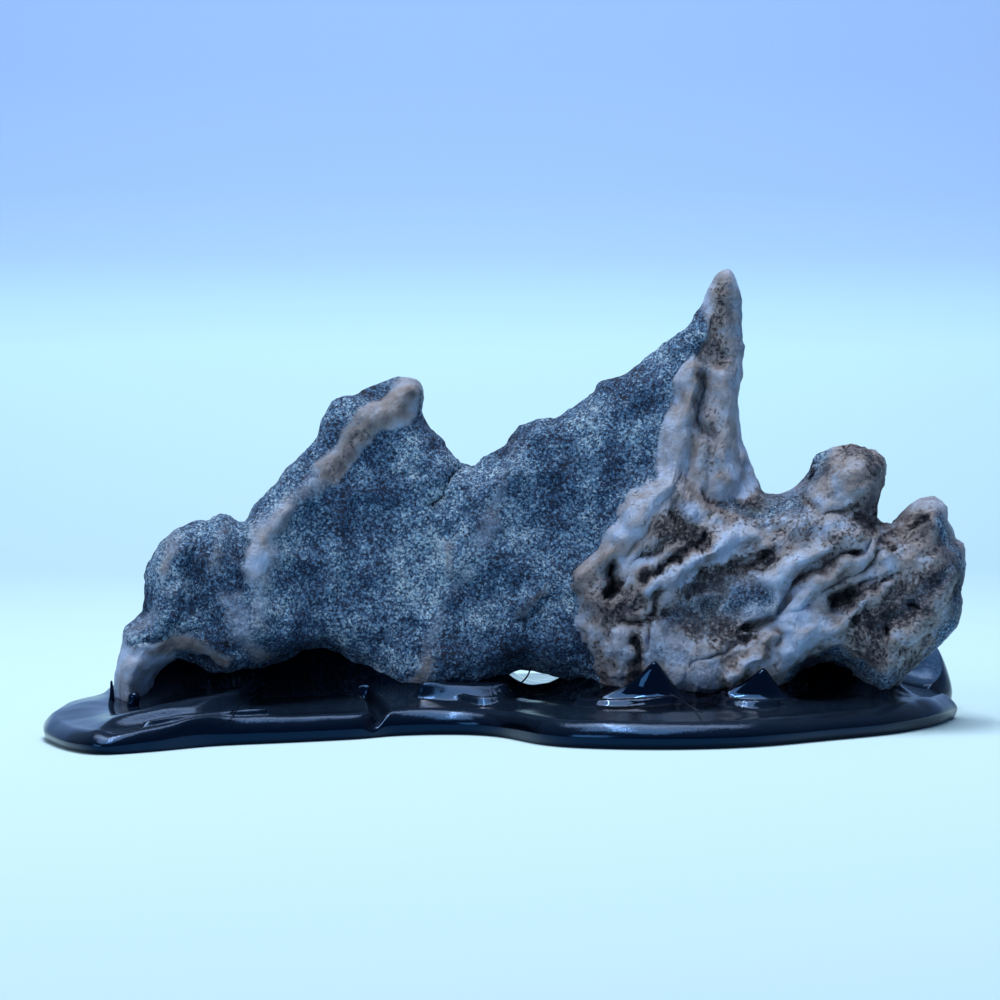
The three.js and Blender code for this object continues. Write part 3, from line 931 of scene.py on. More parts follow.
FRONT_STROKES: tuple[Stroke, ...] = (
    # The vein down the left edge of the face, tan at the peak and white lower down.
    RAISE(1.9, (-17.0, 55.4, 4.4), (-20.0, 53.0, 4.2), (-23.6, 49.4, 3.2)),
    RAISE(0.8, (-23.6, 49.4, 3.4), (-31.0, 42.4, 3.6), (-37.0, 35.4, 3.4)),
    RAISE(2.0, (-37.8, 34.6, 3.4), (-40.7, 31.0, 4.6), (-42.0, 25.8, 4.4), (-41.4, 18.0, 4.0)),
    CALCITE(0.95, (-16.8, 55.4, 4.2), (-20.0, 52.8, 4.2), (-23.0, 50.0, 3.2)),
    CALCITE(0.9, (-23.8, 48.9, 3.0), (-27.6, 45.4, 3.6), (-31.2, 42.2, 3.0)),
    CALCITE(0.5, (-32.3, 41.1, 3.2), (-37.0, 35.6, 3.4)),
    CALCITE(0.8, (-37.4, 35.2, 3.4), (-40.7, 31.1, 4.6), (-42.3, 25.8, 3.8)),
    CALCITE(0.4, (-41.8, 26.0, 4.2), (-40.8, 18.0, 3.6)),
    TAN(1.0, (-17.0, 55.6, 5.4), (-23.0, 50.0, 4.6)),
    STAIN(0.4, (-18.6, 52.4, 1.6), (-22.6, 48.8, 1.4)),
    TAN(1.0, (-23.2, 49.4, 4.0), (-31.5, 41.9, 4.2)),
    STAIN(0.7, (-24.0, 48.0, 3.0), (-31.0, 41.6, 3.6)),
    PORES(0.4, (-24.0, 48.0, 2.6), (-31.0, 41.6, 3.2)),
    TAN(0.6, (-33.0, 40.0, 3.0), (-40.0, 30.0, 3.6)),
    # Pale fingers and patches on the left shoulder.
    CALCITE(0.55, (-46.8, 21.4, 3.4), (-44.4, 16.0, 4.8), (-41.4, 11.6, 3.8)),
    TAN(0.85, (-49.6, 10.6, 3.0), (-44.0, 12.0, 3.8), (-40.0, 11.0, 3.2)),
    CALCITE(0.55, (-55.0, 32.0, 3.2), (-56.4, 25.8, 2.8)),
    TAN(0.8, (-55.2, 32.0, 3.2), (-56.6, 26.4, 2.8)),
    CALCITE(0.5, (-47.0, 34.0, 3.0), (-48.6, 26.4, 3.2)),
    TAN(0.6, (-47.0, 34.0, 2.6), (-48.0, 28.0, 2.4)),
    CALCITE(0.2, (-58.0, 24.0, 3.4), (-53.0, 20.0, 4.0)),
    RAISE(1.7, (-55.2, 32.6, 3.0), (-56.8, 24.0, 3.0), (-57.4, 18.0, 2.6)),
    RAISE(1.6, (-47.4, 34.4, 3.2), (-48.6, 26.0, 3.0), (-47.0, 17.0, 3.6)),
    SINK(1.3, (-51.8, 33.4, 1.4), (-52.4, 27.0, 1.6), (-52.0, 19.0, 1.8)),
    SINK(1.2, (-44.2, 34.4, 1.2), (-45.2, 28.0, 1.8), (-45.6, 22.0, 1.4)),
    # The white left foot and the tan band above it.
    CALCITE(1.0, (-57.6, 12.0, 3.2), (-61.6, 9.4, 5.6), (-62.5, 3.4, 6.2)),
    TAN(0.35, (-60.0, 11.0, 4.0), (-62.5, 4.0, 5.0)),
    CALCITE(0.45, (-63.6, 14.4, 2.6), (-59.6, 18.6, 2.6)),
    CALCITE(0.8, (-58.5, 12.3, 1.8), (-55.0, 13.8, 1.8), (-50.6, 12.8, 1.8), (-47.0, 11.4, 2.0)),
    TAN(1.0, (-58.5, 12.5, 1.8), (-55.0, 13.8, 1.8), (-50.6, 12.8, 1.8), (-47.0, 11.4, 2.0)),
    SINK(0.8, (-65.0, 13.0, 0.8), (-60.5, 14.6, 0.8), (-55.7, 15.6, 0.8), (-50.9, 15.2, 0.9)),
    RAISE(1.2, (-63.0, 10.0, 3.4), (-62.6, 4.0, 3.2)),
    # The faint light band across the schist: a raised ridge whose lit face is also painted lighter with a
    # thin wash of calcite; and the crack beside the valley.
    RAISE(1.2, (1.9, 49.4, 5.0), (-2.1, 39.3, 6.0), (-6.1, 29.3, 7.0), (-17.6, 7.2, 7.0)),
    # Painted light: thin calcite lightens the ridge's lit face.
    CALCITE(0.24, (0.4, 46.0, 2.6), (-2.1, 39.3, 3.0), (-6.1, 29.3, 2.6), (-17.6, 7.2, 2.6)),
    CALCITE(0.5, (-15.0, 11.0, 2.0), (-17.8, 5.6, 2.6)),
    TAN(0.9, (-15.0, 11.0, 2.4), (-17.8, 5.6, 2.6)),
    SINK(1.2, (-10.0, 23.8, 2.0), (-6.0, 22.0, 2.4), (-2.6, 21.6, 1.8)),
    CALCITE(0.4, (-10.8, 29.4, 1.4), (-10.4, 24.6, 1.6)),
    TAN(1.0, (-10.8, 29.4, 1.6), (-10.4, 24.6, 1.8)),
    CALCITE(0.45, (0.6, 18.8, 1.6), (5.0, 21.4, 2.2)),
    TAN(1.0, (0.6, 18.8, 2.0), (5.0, 21.4, 2.4)),
    RAISE(1.1, (1.0, 20.0, 2.0), (5.4, 22.0, 2.6)),
    SINK(1.2, (1.0, 17.4, 1.0), (5.0, 18.8, 1.2)),
    SINK(3.6, (-8.0, 43.6, 1.3), (-10.9, 39.7, 1.2), (-13.4, 36.4, 0.8)),
    RAISE(1.4, (-11.4, 43.8, 1.6), (-13.6, 41.0, 2.2)),
    # The horn: tan and brown over white, pitted at its root.
    CALCITE(1.0, (34.8, 75.0, 5.6), (34.8, 69.5, 5.6), (34.8, 63.0, 5.0), (33.4, 59.8, 3.2)),
    TAN(1.0, (34.6, 74.0, 4.0), (34.0, 66.0, 4.6), (33.0, 59.0, 4.0)),
    STAIN(0.9, (32.4, 68.0, 1.6), (31.6, 63.4, 2.2), (31.4, 59.6, 2.2)),
    STAIN(0.8, (36.2, 71.0, 1.4), (36.6, 66.0, 1.6), (35.8, 60.0, 1.8)),
    PORES(0.7, (34.0, 72.0, 3.0), (33.6, 60.0, 3.4)),
    SINK(1.0, (31.9, 66.4, 0.9), (31.4, 60.6, 1.2)),
    SINK(0.9, (29.8, 59.2, 1.4), (35.0, 58.6, 1.2)),
    # The flowstone drape under the horn.
    RAISE(2.6, (30.0, 58.2, 2.0), (28.7, 55.0, 2.8), (28.8, 51.8, 2.2)),
    RAISE(2.6, (28.4, 51.2, 2.2), (25.8, 46.2, 3.0), (24.6, 41.8, 2.6)),
    RAISE(2.4, (34.2, 58.0, 2.8), (34.6, 49.0, 3.8), (33.4, 41.0, 4.4)),
    RAISE(1.8, (30.6, 47.0, 2.6), (29.0, 42.0, 2.8), (28.8, 39.0, 2.0)),
    RAISE(1.4, (36.6, 52.0, 1.4), (37.6, 45.0, 1.4), (40.0, 39.0, 1.6)),
    SINK(2.6, (31.0, 56.4, 1.2), (30.7, 52.6, 1.6), (31.4, 48.0, 1.3)),
    STAIN(0.6, (31.0, 56.4, 1.4), (30.7, 52.6, 1.6), (31.4, 48.0, 1.2)),
    SINK(0.8, (36.4, 47.0, 0.5), (37.6, 41.0, 0.8)),
    CALCITE(
        1.0, (30.0, 58.4, 2.8), (28.7, 55.0, 3.6), (27.8, 50.4, 3.2), (25.4, 45.6, 3.8),
        (24.6, 41.8, 3.0),
    ),
    CALCITE(1.0, (34.4, 57.0, 5.4), (33.6, 48.0, 7.4), (33.0, 40.6, 8.6)),
    TAN(0.7, (33.0, 58.0, 6.0), (34.0, 50.0, 7.0), (32.0, 42.0, 8.0)),
    TAN(0.65, (29.4, 57.0, 4.0), (28.0, 50.0, 4.0), (25.4, 44.0, 4.0)),
    TAN(0.85, (30.8, 56.0, 1.8), (29.8, 49.4, 1.8), (28.2, 44.4, 2.2), (28.2, 39.6, 2.0)),
    PORES(0.4, (32.0, 52.0, 3.0), (31.6, 44.0, 4.0)),
    STAIN(0.5, (28.6, 47.4, 1.0), (28.0, 43.0, 1.3)),
    STAIN(0.6, (24.2, 42.4, 1.2), (24.4, 40.8, 1.2)),
    SCHIST(0.4, (30.7, 56.0, 1.4), (30.8, 49.0, 1.8)),
    SCHIST(0.45, (36.2, 72.0, 1.8), (36.4, 64.0, 2.2), (35.8, 56.0, 2.4), (36.4, 48.0, 2.6)),
    # The lump's left half: a white knuckle, the lip of its hole, and a fold that rises to the right.
    RAISE(2.6, (15.6, 31.2, 2.8), (18.8, 35.2, 4.2), (23.8, 40.0, 2.8)),
    RAISE(1.2, (25.4, 39.6, 1.6), (27.4, 36.4, 1.8), (28.4, 33.6, 1.4)),
    RAISE(1.0, (17.0, 27.6, 0.8), (19.4, 30.0, 1.0), (21.8, 32.6, 0.9)),
    RAISE(1.0, (17.6, 20.0, 1.2), (20.6, 24.6, 1.2), (23.6, 29.0, 1.2)),
    RAISE(1.6, (10.0, 23.0, 2.0), (12.0, 27.2, 2.0), (15.4, 29.2, 1.6)),
    RAISE(1.2, (10.6, 20.8, 1.6), (15.0, 19.6, 1.6)),
    RAISE(2.0, (19.6, 21.8, 1.2), (23.1, 23.7, 1.5), (30.1, 28.4, 2.0), (34.0, 31.4, 2.2)),
    RAISE(1.8, (34.0, 31.4, 2.2), (38.0, 30.6, 1.8), (40.4, 28.0, 1.4)),
    RAISE(1.6, (15.6, 15.6, 1.8), (16.0, 12.0, 2.4), (15.2, 6.4, 2.8)),
    RAISE(1.0, (12.6, 18.0, 1.6), (12.8, 12.0, 2.0), (12.0, 6.0, 2.0)),
    RAISE(1.4, (22.0, 16.4, 2.4), (22.6, 12.0, 3.4), (23.4, 7.6, 3.4)),
    RAISE(1.0, (30.6, 14.0, 3.0), (31.0, 8.0, 3.4)),
    RAISE(1.8, (41.0, 14.8, 1.4), (37.2, 11.2, 1.8), (34.4, 8.2, 1.8)),
    # Its right half: folds fanning up to the end, the dome under the knob, and the dome over the arch.
    RAISE(1.0, (36.0, 33.4, 2.0), (42.0, 35.0, 2.2), (46.0, 33.4, 2.0)),
    RAISE(2.2, (39.5, 20.0, 1.6), (42.7, 24.9, 2.4), (45.4, 27.6, 2.4), (49.0, 29.6, 2.4)),
    RAISE(2.2, (50.0, 31.6, 3.4), (54.0, 31.4, 3.4)),
    RAISE(
        1.9, (42.7, 19.6, 1.4), (48.9, 24.0, 1.6), (55.2, 28.0, 1.9), (60.4, 32.0, 2.2),
        (66.0, 36.2, 2.4),
    ),
    RAISE(1.0, (55.4, 23.0, 1.2), (60.4, 28.0, 1.6), (66.6, 33.4, 1.8)),
    RAISE(
        1.4, (48.6, 16.4, 1.0), (51.0, 16.4, 1.2), (53.8, 18.8, 1.2), (55.6, 21.2, 1.0),
        (59.0, 23.4, 1.0),
    ),
    RAISE(2.6, (43.4, 17.8, 3.4), (45.4, 15.6, 4.2), (44.6, 12.4, 3.4)),
    RAISE(2.2, (54.4, 43.0, 3.6), (54.6, 40.0, 3.8), (53.4, 36.4, 3.0)),
    RAISE(1.2, (62.0, 15.6, 2.8), (66.0, 19.6, 3.0), (70.0, 24.0, 2.6)),
    # Gullies and creases between the folds.
    SINK(1.2, (19.0, 28.0, 1.0), (22.0, 28.8, 1.6), (24.4, 30.0, 1.8), (27.8, 31.4, 1.8)),
    SINK(1.2, (26.2, 36.4, 1.2), (26.6, 32.8, 2.0)),
    SINK(1.5, (19.9, 23.6, 1.2), (22.8, 25.9, 1.6), (26.0, 28.2, 1.6), (30.0, 31.0, 1.6)),
    SINK(2.2, (27.8, 21.6, 1.8), (32.5, 23.8, 2.6), (37.2, 25.6, 2.6), (40.0, 26.4, 1.6)),
    SINK(1.8, (36.4, 36.4, 1.0), (40.4, 37.6, 1.2), (44.0, 38.4, 1.2)),
    SINK(1.6, (46.4, 37.6, 1.4), (48.4, 34.4, 1.4)),
    SINK(1.5, (40.6, 19.4, 0.9), (44.2, 23.0, 1.0), (47.6, 25.2, 1.0), (53.4, 29.2, 0.9)),
    SINK(1.0, (49.0, 22.0, 0.7), (55.2, 25.8, 0.8), (60.0, 30.0, 0.8), (66.2, 35.4, 0.8)),
    SINK(1.2, (28.0, 10.2, 0.8), (34.8, 13.6, 1.0), (38.0, 16.0, 1.0)),
    SINK(1.8, (21.6, 21.0, 0.9), (20.8, 17.0, 1.0), (20.2, 13.0, 0.9)),
    SINK(1.2, (18.2, 14.6, 0.9), (18.6, 10.0, 1.2), (19.0, 7.0, 1.0)),
    SINK(1.6, (24.0, 18.6, 3.0), (30.0, 18.6, 4.4), (35.0, 20.0, 3.0)),
    SINK(2.4, (47.6, 38.8, 1.4), (49.8, 40.6, 1.6), (50.2, 43.0, 1.2)),
    SINK(1.8, (50.0, 34.9, 0.6), (52.1, 34.5, 0.6), (55.2, 35.1, 0.6)),
    # Holes.
    SINK(5.2, (15.2, 25.8, 1.9), (15.1, 22.2, 2.1)),
    SINK(2.8, (17.2, 18.0, 1.1), (19.0, 17.0, 1.3)),
    SINK(3.2, (36.2, 17.4, 1.6), (38.7, 16.6, 2.0), (40.0, 17.6, 1.2)),
    SINK(5.2, (50.6, 19.6, 2.2), (52.8, 21.2, 2.3)),
    SINK(2.6, (54.6, 23.0, 0.8), (57.0, 24.2, 0.7)),
    SINK(2.4, (63.2, 20.8, 0.9), (64.6, 20.6, 0.8)),
    SINK(1.8, (59.4, 16.4, 0.9), (60.2, 16.0, 0.9)),
    # Tan: round the left hole, along the gullies, on the knob and over the right end.
    TAN(1.0, (9.8, 22.6, 2.6), (12.2, 26.6, 2.6), (15.6, 29.4, 2.2)),
    TAN(0.9, (11.6, 20.6, 2.2), (16.4, 20.0, 2.0), (20.4, 25.0, 1.8)),
    TAN(0.8, (17.4, 28.8, 2.2), (24.0, 32.0, 3.4), (30.0, 31.6, 3.0)),
    TAN(0.9, (17.8, 18.4, 1.8), (18.6, 11.0, 2.0)),
    TAN(0.6, (36.0, 31.0, 2.0), (40.0, 28.4, 2.4)),
    TAN(0.8, (41.6, 15.8, 1.4), (39.4, 12.6, 1.6)),
    TAN(0.8, (30.6, 36.0, 1.8), (34.4, 35.4, 1.8)),
    TAN(0.8, (49.6, 43.0, 2.6), (50.4, 39.0, 2.6)),
    TAN(0.5, (54.0, 44.6, 4.0), (56.0, 38.0, 4.0)),
    STAIN(1.0, (24.0, 16.0, 5.0), (31.0, 17.4, 7.0), (37.0, 14.0, 5.0)),
    TAN(0.45, (50.0, 31.0, 3.0), (55.0, 31.0, 3.0)),
    TAN(0.45, (48.9, 24.0, 2.0), (60.4, 31.6, 2.6)),
    TAN(0.8, (63.6, 34.4, 2.6), (67.6, 30.0, 3.4), (69.6, 24.0, 4.0)),
    TAN(0.6, (57.0, 17.0, 3.6), (64.0, 21.0, 5.0), (70.0, 24.0, 4.0)),
    # Brown dirt in the gullies and holes, and fine brown lines along the right folds.
    STAIN(0.8, (25.6, 36.8, 1.4), (26.4, 33.4, 2.0), (29.6, 31.6, 1.8)),
    STAIN(0.7, (20.0, 28.0, 1.0), (24.0, 29.6, 1.6)),
    STAIN(0.8, (19.9, 23.6, 1.4), (23.0, 26.2, 1.8), (27.0, 28.6, 1.6), (30.6, 31.4, 1.6)),
    STAIN(0.8, (27.8, 21.6, 2.0), (32.5, 23.6, 2.8), (38.0, 25.4, 2.8), (40.6, 26.6, 1.6)),
    STAIN(0.9, (35.6, 17.4, 2.0), (39.4, 16.8, 2.2)),
    STAIN(0.7, (21.6, 21.0, 1.0), (20.6, 16.4, 1.2), (20.2, 13.0, 1.0)),
    STAIN(0.8, (18.2, 15.0, 1.0), (19.0, 8.0, 1.2)),
    STAIN(0.9, (40.6, 19.4, 0.8), (44.2, 23.0, 0.9), (47.6, 25.2, 0.9), (52.0, 28.2, 1.0)),
    STAIN(0.8, (49.0, 22.0, 0.6), (55.2, 25.8, 0.8), (60.0, 30.0, 0.7), (66.2, 35.4, 0.9)),
    STAIN(0.6, (50.4, 24.4, 0.5), (57.0, 28.0, 0.6), (62.0, 32.0, 0.6)),
    STAIN(1.0, (49.4, 43.8, 1.6), (50.2, 41.0, 2.4), (47.6, 38.6, 2.2)),
    STAIN(0.9, (58.0, 43.8, 1.6), (59.2, 40.6, 2.0), (58.2, 37.0, 1.6)),
    STAIN(0.9, (63.4, 34.4, 2.0), (68.0, 32.0, 3.2), (70.4, 28.6, 3.0)),
    STAIN(0.8, (36.4, 35.6, 1.0), (40.4, 37.4, 1.4)),
    STAIN(0.8, (46.6, 38.0, 1.8), (48.6, 33.8, 1.4)),
    # Pores.
    PORES(0.9, (20.0, 28.6, 1.8), (26.0, 32.6, 3.2), (30.0, 31.0, 2.6)),
    PORES(0.9, (20.0, 24.0, 1.8), (26.0, 28.0, 2.2)),
    PORES(1.0, (27.0, 21.6, 2.6), (33.0, 23.6, 3.6), (40.0, 26.4, 2.8)),
    PORES(0.9, (22.0, 18.0, 3.0), (31.0, 17.0, 5.0), (36.0, 16.0, 3.0)),
    PORES(0.7, (18.4, 15.4, 2.0), (18.6, 12.0, 2.2)),
    PORES(0.6, (38.0, 34.4, 3.0), (46.0, 35.0, 3.6)),
    PORES(0.45, (56.0, 17.0, 3.6), (63.0, 21.0, 5.0), (69.6, 26.0, 4.6)),
    PORES(0.5, (50.0, 31.0, 3.0), (57.0, 33.0, 2.6)),
    # Grey, where the white has worn thin; low on the lump's left it is partly painted shade, for the bluish
    # tint of the shade there.
    SCHIST(0.6, (24.0, 17.4, 4.0), (31.0, 19.6, 7.0), (38.0, 22.0, 5.4)),
    # Partly painted shade: this grey also gives the bluish tint of the shade low on the lump's left.
    SCHIST(0.4, (14.0, 13.0, 2.6), (22.0, 11.6, 4.2), (31.0, 11.0, 5.0), (32.0, 7.0, 4.4)),
    SCHIST(0.6, (50.0, 44.6, 2.0), (49.4, 40.6, 2.6), (47.4, 37.8, 2.6)),
    SCHIST(0.8, (34.0, 36.4, 2.0), (39.0, 36.0, 2.6), (45.0, 36.8, 3.6)),
    SCHIST(0.6, (56.0, 16.0, 4.0), (63.0, 21.0, 5.6), (70.0, 26.0, 4.4)),
    SCHIST(0.45, (63.4, 34.6, 2.2), (67.0, 33.6, 3.2), (69.0, 30.0, 3.6)),
    SCHIST(0.75, (68.6, 34.6, 2.8), (71.6, 29.4, 4.0), (72.6, 21.0, 4.4), (68.0, 12.0, 4.6)),
    SCHIST(
        0.85, (45.0, 7.0, 2.6), (51.0, 11.6, 2.8), (56.0, 8.6, 3.8), (61.0, 6.6, 4.6),
        (67.0, 11.0, 4.4),
    ),
)
# The lump's folds rise to the right. Round FOLDS_TURN they give way to toes that hang straight down.
FOLD_RISE = math.radians(33.0)
TOE_FALL = math.radians(-82.0)
FOLDS_TURN = 17.0
FOLDS_TURN_HALF = 4.0

BACK_STROKES: tuple[Stroke, ...] = (
    # A white seam slants down the back, and the lump's calcite comes round the right end.
    RAISE(1.6, (33.0, 62.0, 3.0), (22.0, 42.0, 2.4), (12.0, 28.0, 2.8), (2.0, 12.0, 2.6)),
    CALCITE(0.9, (34.0, 74.0, 4.6), (33.0, 60.0, 3.4), (27.0, 50.0, 1.2), (22.0, 42.0, 2.8)),
    CALCITE(
        0.8, (22.0, 42.0, 2.8), (17.0, 35.0, 1.0), (12.0, 28.0, 3.0), (6.0, 18.0, 1.0), (2.0, 9.0, 2.6),
    ),
    CALCITE(1.0, (62.0, 44.0, 14.0), (66.0, 24.0, 14.0), (62.0, 6.0, 10.0)),
    CALCITE(0.8, (-18.0, 57.0, 4.4), (-24.0, 50.0, 3.0), (-30.0, 44.0, 1.4), (-37.0, 36.0, 0.6)),
    CALCITE(0.9, (-63.0, 12.0, 4.0), (-62.0, 4.0, 4.0)),
    CALCITE(0.9, (37.4, 60.0, 2.2), (37.4, 48.0, 3.0), (40.8, 38.4, 3.4)),
    TAN(0.8, (60.0, 40.0, 6.0), (68.0, 26.0, 6.0), (62.0, 12.0, 5.0)),
    TAN(0.7, (34.0, 72.0, 3.0), (33.0, 60.0, 3.0), (24.0, 45.0, 2.0)),
    STAIN(0.8, (52.0, 38.0, 2.4), (58.0, 26.0, 3.0), (64.0, 14.0, 2.4)),
    PORES(0.8, (54.0, 40.0, 4.0), (62.0, 26.0, 6.0), (62.0, 10.0, 4.0)),
    SINK(1.6, (46.0, 40.0, 2.0), (50.0, 24.0, 2.4), (47.0, 10.0, 1.8)),
    SINK(1.4, (-10.0, 43.0, 1.6), (-14.0, 28.0, 2.6), (-24.0, 12.0, 2.0)),
    SINK(1.2, (56.0, 33.0, 1.2), (64.0, 30.0, 1.6), (71.0, 24.0, 1.0)),
    SINK(3.0, (59.0, 19.0, 1.6), (61.0, 20.0, 1.4)),
    RAISE(1.2, (-58.0, 30.0, 3.0), (-48.0, 22.0, 4.0), (-40.0, 14.0, 3.6)),
)


@dataclass
class Stone:
    """The stone: a slab whose silhouette is drawn from the front, thickened towards its foot.

    Attributes:
        stations: points along each of the skyline and the underside.
        front_rows: rows from the middle of the display face out to the silhouette.
        back_rows: rows from the silhouette in to the middle of the back.
        height: of the horn's tip above the ground.
        spine_left: left end of the line that the rows start from.
        spine_right: right end of that line.
        spine_height: its height above the ground.
        spine_dip: how far its left end dips into the foot.
        spine_dip_run: the length over which it dips.
        fan: length of silhouette averaged to spread the stations along the spine.
        ridge_half: half the thickness along the ridge.
        fade_height: where the foot's reach has faded to the ridge's.
        round_ridge: radius that rounds the silhouette over near the top.
        round_ground: the same near the ground.
        lump_step: height of the step at the calcite lump's edge.
        step_run: where that step begins and ends, from the lump's edge inwards.
        lump_swell: how much further the lump stands out in its middle.
        lump_run: distance over which it swells.
        lump_round: the range of x over which the lump comes round the right end to the back.
        lump_fray: how far blotches move that range.
        soil: how soiled the lump is all over.
        soil_right: how much more soiled its right end is.
        soil_right_run: the range of x over which that grows.
        soil_blotch: how much a blotch counts beside these.
        soil_sunk: how much more soiled a sunk stroke is.
        soil_sunk_run: depths of a sunk stroke over which that grows.
        rub: how much of the soil is rubbed off what stands proud.
        rub_run: heights over which that grows.
        rub_sunk: how much a sunk stroke counts against a raised one in this.
        gully_run: heights of the folds where a gully starts and where it is full.
        hollow: how much painted shade darkens the bottom of a deep hole.
        hole_shade_run: depths where the painted shade starts and where it is full.
        seam: width of the band, seen from the front, where the front's paint gives way to the back's.
        rear_sheet: how far behind the front's noise the back's is taken.
        wander_x: noise that moves the strokes and the lump's edge along x, so that none is straight.
        wander_z: the same up and down.
        blotch: patches of stain and of thinner calcite.
        streaks: the noise that is drawn out into the lump's folds.
        streak_length: how many times as long as wide they are.
        streak_depth: how many times as long they are in from the face.
        fold_height: half the height of a fold.
        broken: the large facets of the schist.
        rough: its small ones.
        rounded: the calcite's swellings.
        knots: its small ones.
        pit_depth: depth of the pores that are wide enough to be shaped.
        wide_pits: the spacing of the wider pores.
        fine_pits: the spacing of the finer ones.
    """

    stations: int = 360
    front_rows: int = 96
    back_rows: int = 36
    height: float = 75.0
    spine_left: float = -61.5
    spine_right: float = 62.0
    spine_height: float = 20.0
    spine_dip: float = 9.0
    spine_dip_run: float = 12.0
    fan: float = 36.0
    ridge_half: float = 3.4
    fade_height: float = 60.0
    round_ridge: float = 3.6
    round_ground: float = 8.0
    lump_step: float = 2.0
    step_run: tuple[float, float] = (-0.4, 1.8)
    lump_swell: float = 5.4
    lump_run: float = 8.0
    lump_round: tuple[float, float] = (48.0, 56.0)
    lump_fray: float = 4.0
    soil: float = 0.28
    soil_right: float = 0.24
    soil_right_run: tuple[float, float] = (44.0, 58.0)
    soil_blotch: float = 0.5
    soil_sunk: float = 0.2
    soil_sunk_run: tuple[float, float] = (0.3, 1.4)
    rub: float = 0.65
    rub_run: tuple[float, float] = (0.2, 1.9)
    rub_sunk: float = 1.2
    gully_run: tuple[float, float] = (0.15, -0.45)
    hollow: float = 0.9
    hole_shade_run: tuple[float, float] = (2.6, 4.8)
    seam: float = 1.8
    rear_sheet: float = 40.0
    wander_x: Unevenness = Unevenness(1.1, 5.0, Seed.WANDER_X, 3)
    wander_z: Unevenness = Unevenness(1.1, 5.0, Seed.WANDER_Z, 3)
    blotch: Unevenness = Unevenness(1.0, 7.0, Seed.BLOTCH, 4)
    streaks: Unevenness = Unevenness(1.0, 3.4, Seed.FOLDS, 4)
    streak_length: float = 3.6
    streak_depth: float = 1.5
    fold_height: float = 0.38
    broken: Unevenness = Unevenness(1.4, 11.0, Seed.BROKEN, 4)
    rough: Unevenness = Unevenness(0.4, 2.8, Seed.ROUGH, 3)
    rounded: Unevenness = Unevenness(0.3, 6.0, Seed.ROUNDED, 3)
    knots: Unevenness = Unevenness(0.25, 2.2, Seed.KNOTS, 2)
    pit_depth: float = 0.8
    wide_pits: float = 2.3
    fine_pits: float = 1.3

    def plan_at(self, x: Array, column: int) -> Array:
        """A column of the plan at each x, eased from one station to the next.

        Args:
            x: places along the stone.
            column: 1 for the ridge's y, 2 for the foot's reach in front of it, 3 for its reach behind.

        Returns:
            One value for each place.
        """
        plan = np.asarray(PLAN, float)
        k = np.clip(np.searchsorted(plan[:, 0], x), 1, len(plan) - 1)
        share = ease(0.0, 1.0, (x - plan[k - 1, 0]) / (plan[k, 0] - plan[k - 1, 0]))
        return plan[k - 1, column] + (plan[k, column] - plan[k - 1, column]) * share

    def wandered(self, flat: Array, facing: Array) -> Array:
        """Moves places on the faces by noise, which differs from the front to the back.

        Args:
            flat: places, x and z to a row.
            facing: 1 on the display face, 0 on the rear one, and between along the silhouette.

        Returns:
            The moved places.
        """
        front, back = (
            np.column_stack([noise.at(sheet) for noise in (self.wander_x, self.wander_z)])
            for sheet in (np.insert(flat, 1, y, axis=1) for y in (0.0, self.rear_sheet))
        )
        return flat + back + (front - back) * facing[:, None]

    def build(self) -> tuple[Array, Array, dict[str, Array]]:
        """Works out the stone's surface.

        Rows of stations spread from the spine to the silhouette, first over the display face and then
        back over the rear one. A point's height and x are shared out between its spine point and its
        silhouette point; its y is the ridge's, moved out by the face's depth, which falls to nothing
        at the silhouette along an elliptical edge. The depth is the foot's reach, fading upwards, with the
        strokes' relief and, in front, the lump: a step at its edge and a swell that levels out inwards.
        Noise then moves every point along its normal.

        Returns:
            Points in millimetres, triangles, and the painted masks.
        """
        rim, share = ring_stations(SKYLINE, UNDERSIDE, self.stations, self.fan)
        rim[:, 1] *= self.height / rim[:, 1].max()
        root_x = self.spine_left + (self.spine_right - self.spine_left) * share
        dip = self.spine_dip * (1.0 - np.clip((root_x - self.spine_left) / self.spine_dip_run, 0.0, 1.0))
        root = np.column_stack([root_x, self.spine_height - dip])
        front = np.sin(0.5 * np.pi * np.linspace(0.0, 1.0, self.front_rows + 1))
        back = np.sin(0.5 * np.pi * np.linspace(1.0, 0.0, self.back_rows + 1))[1:]
        reach = np.concatenate([front, back])
        flat = (root[None] + (rim - root)[None] * reach[:, None, None]).reshape(-1, 2)
        is_front = np.repeat(np.arange(len(reach)) <= self.front_rows, len(rim))
        edge = distance_to_path(flat, np.vstack([rim, rim[:1]]))
        facing = 0.5 + np.where(is_front, 0.5, -0.5) * ease(0.0, self.seam, edge)
        warped = self.wandered(flat, facing)
        low = np.clip(1.0 - flat[:, 1] / self.fade_height, 0.0, 1.0)
        foot = np.where(is_front, self.plan_at(flat[:, 0], 2), self.plan_at(flat[:, 0], 3))
        depth = self.ridge_half + (foot - self.ridge_half) * low
        within, inwards = within_edge(warped, np.asarray(LUMP_EDGE), LUMP_BEYOND)
        swell = self.lump_swell * (1.0 - np.exp(-np.maximum(inwards, 0.0) / self.lump_run))
        lump = self.lump_step * ease(*self.step_run, inwards) + swell
        depth += np.where(is_front, lump + relief(warped, FRONT_STROKES), relief(warped, BACK_STROKES))
        radius = self.round_ridge + (self.round_ground - self.round_ridge) * low
        out = depth * np.sqrt(1.0 - (1.0 - np.minimum(1.0, edge / radius)) ** 2)
        y = self.plan_at(flat[:, 0], 1) + np.where(is_front, -out, out)
        triangles, used = sealed_triangles(len(reach), len(rim))
        points = np.column_stack([flat[:, 0], y, flat[:, 1]])[used]
        masks, folds = self.masks(points, warped[used], facing[used], within[used])
        return self.weathered(points, triangles, masks, folds), triangles, masks

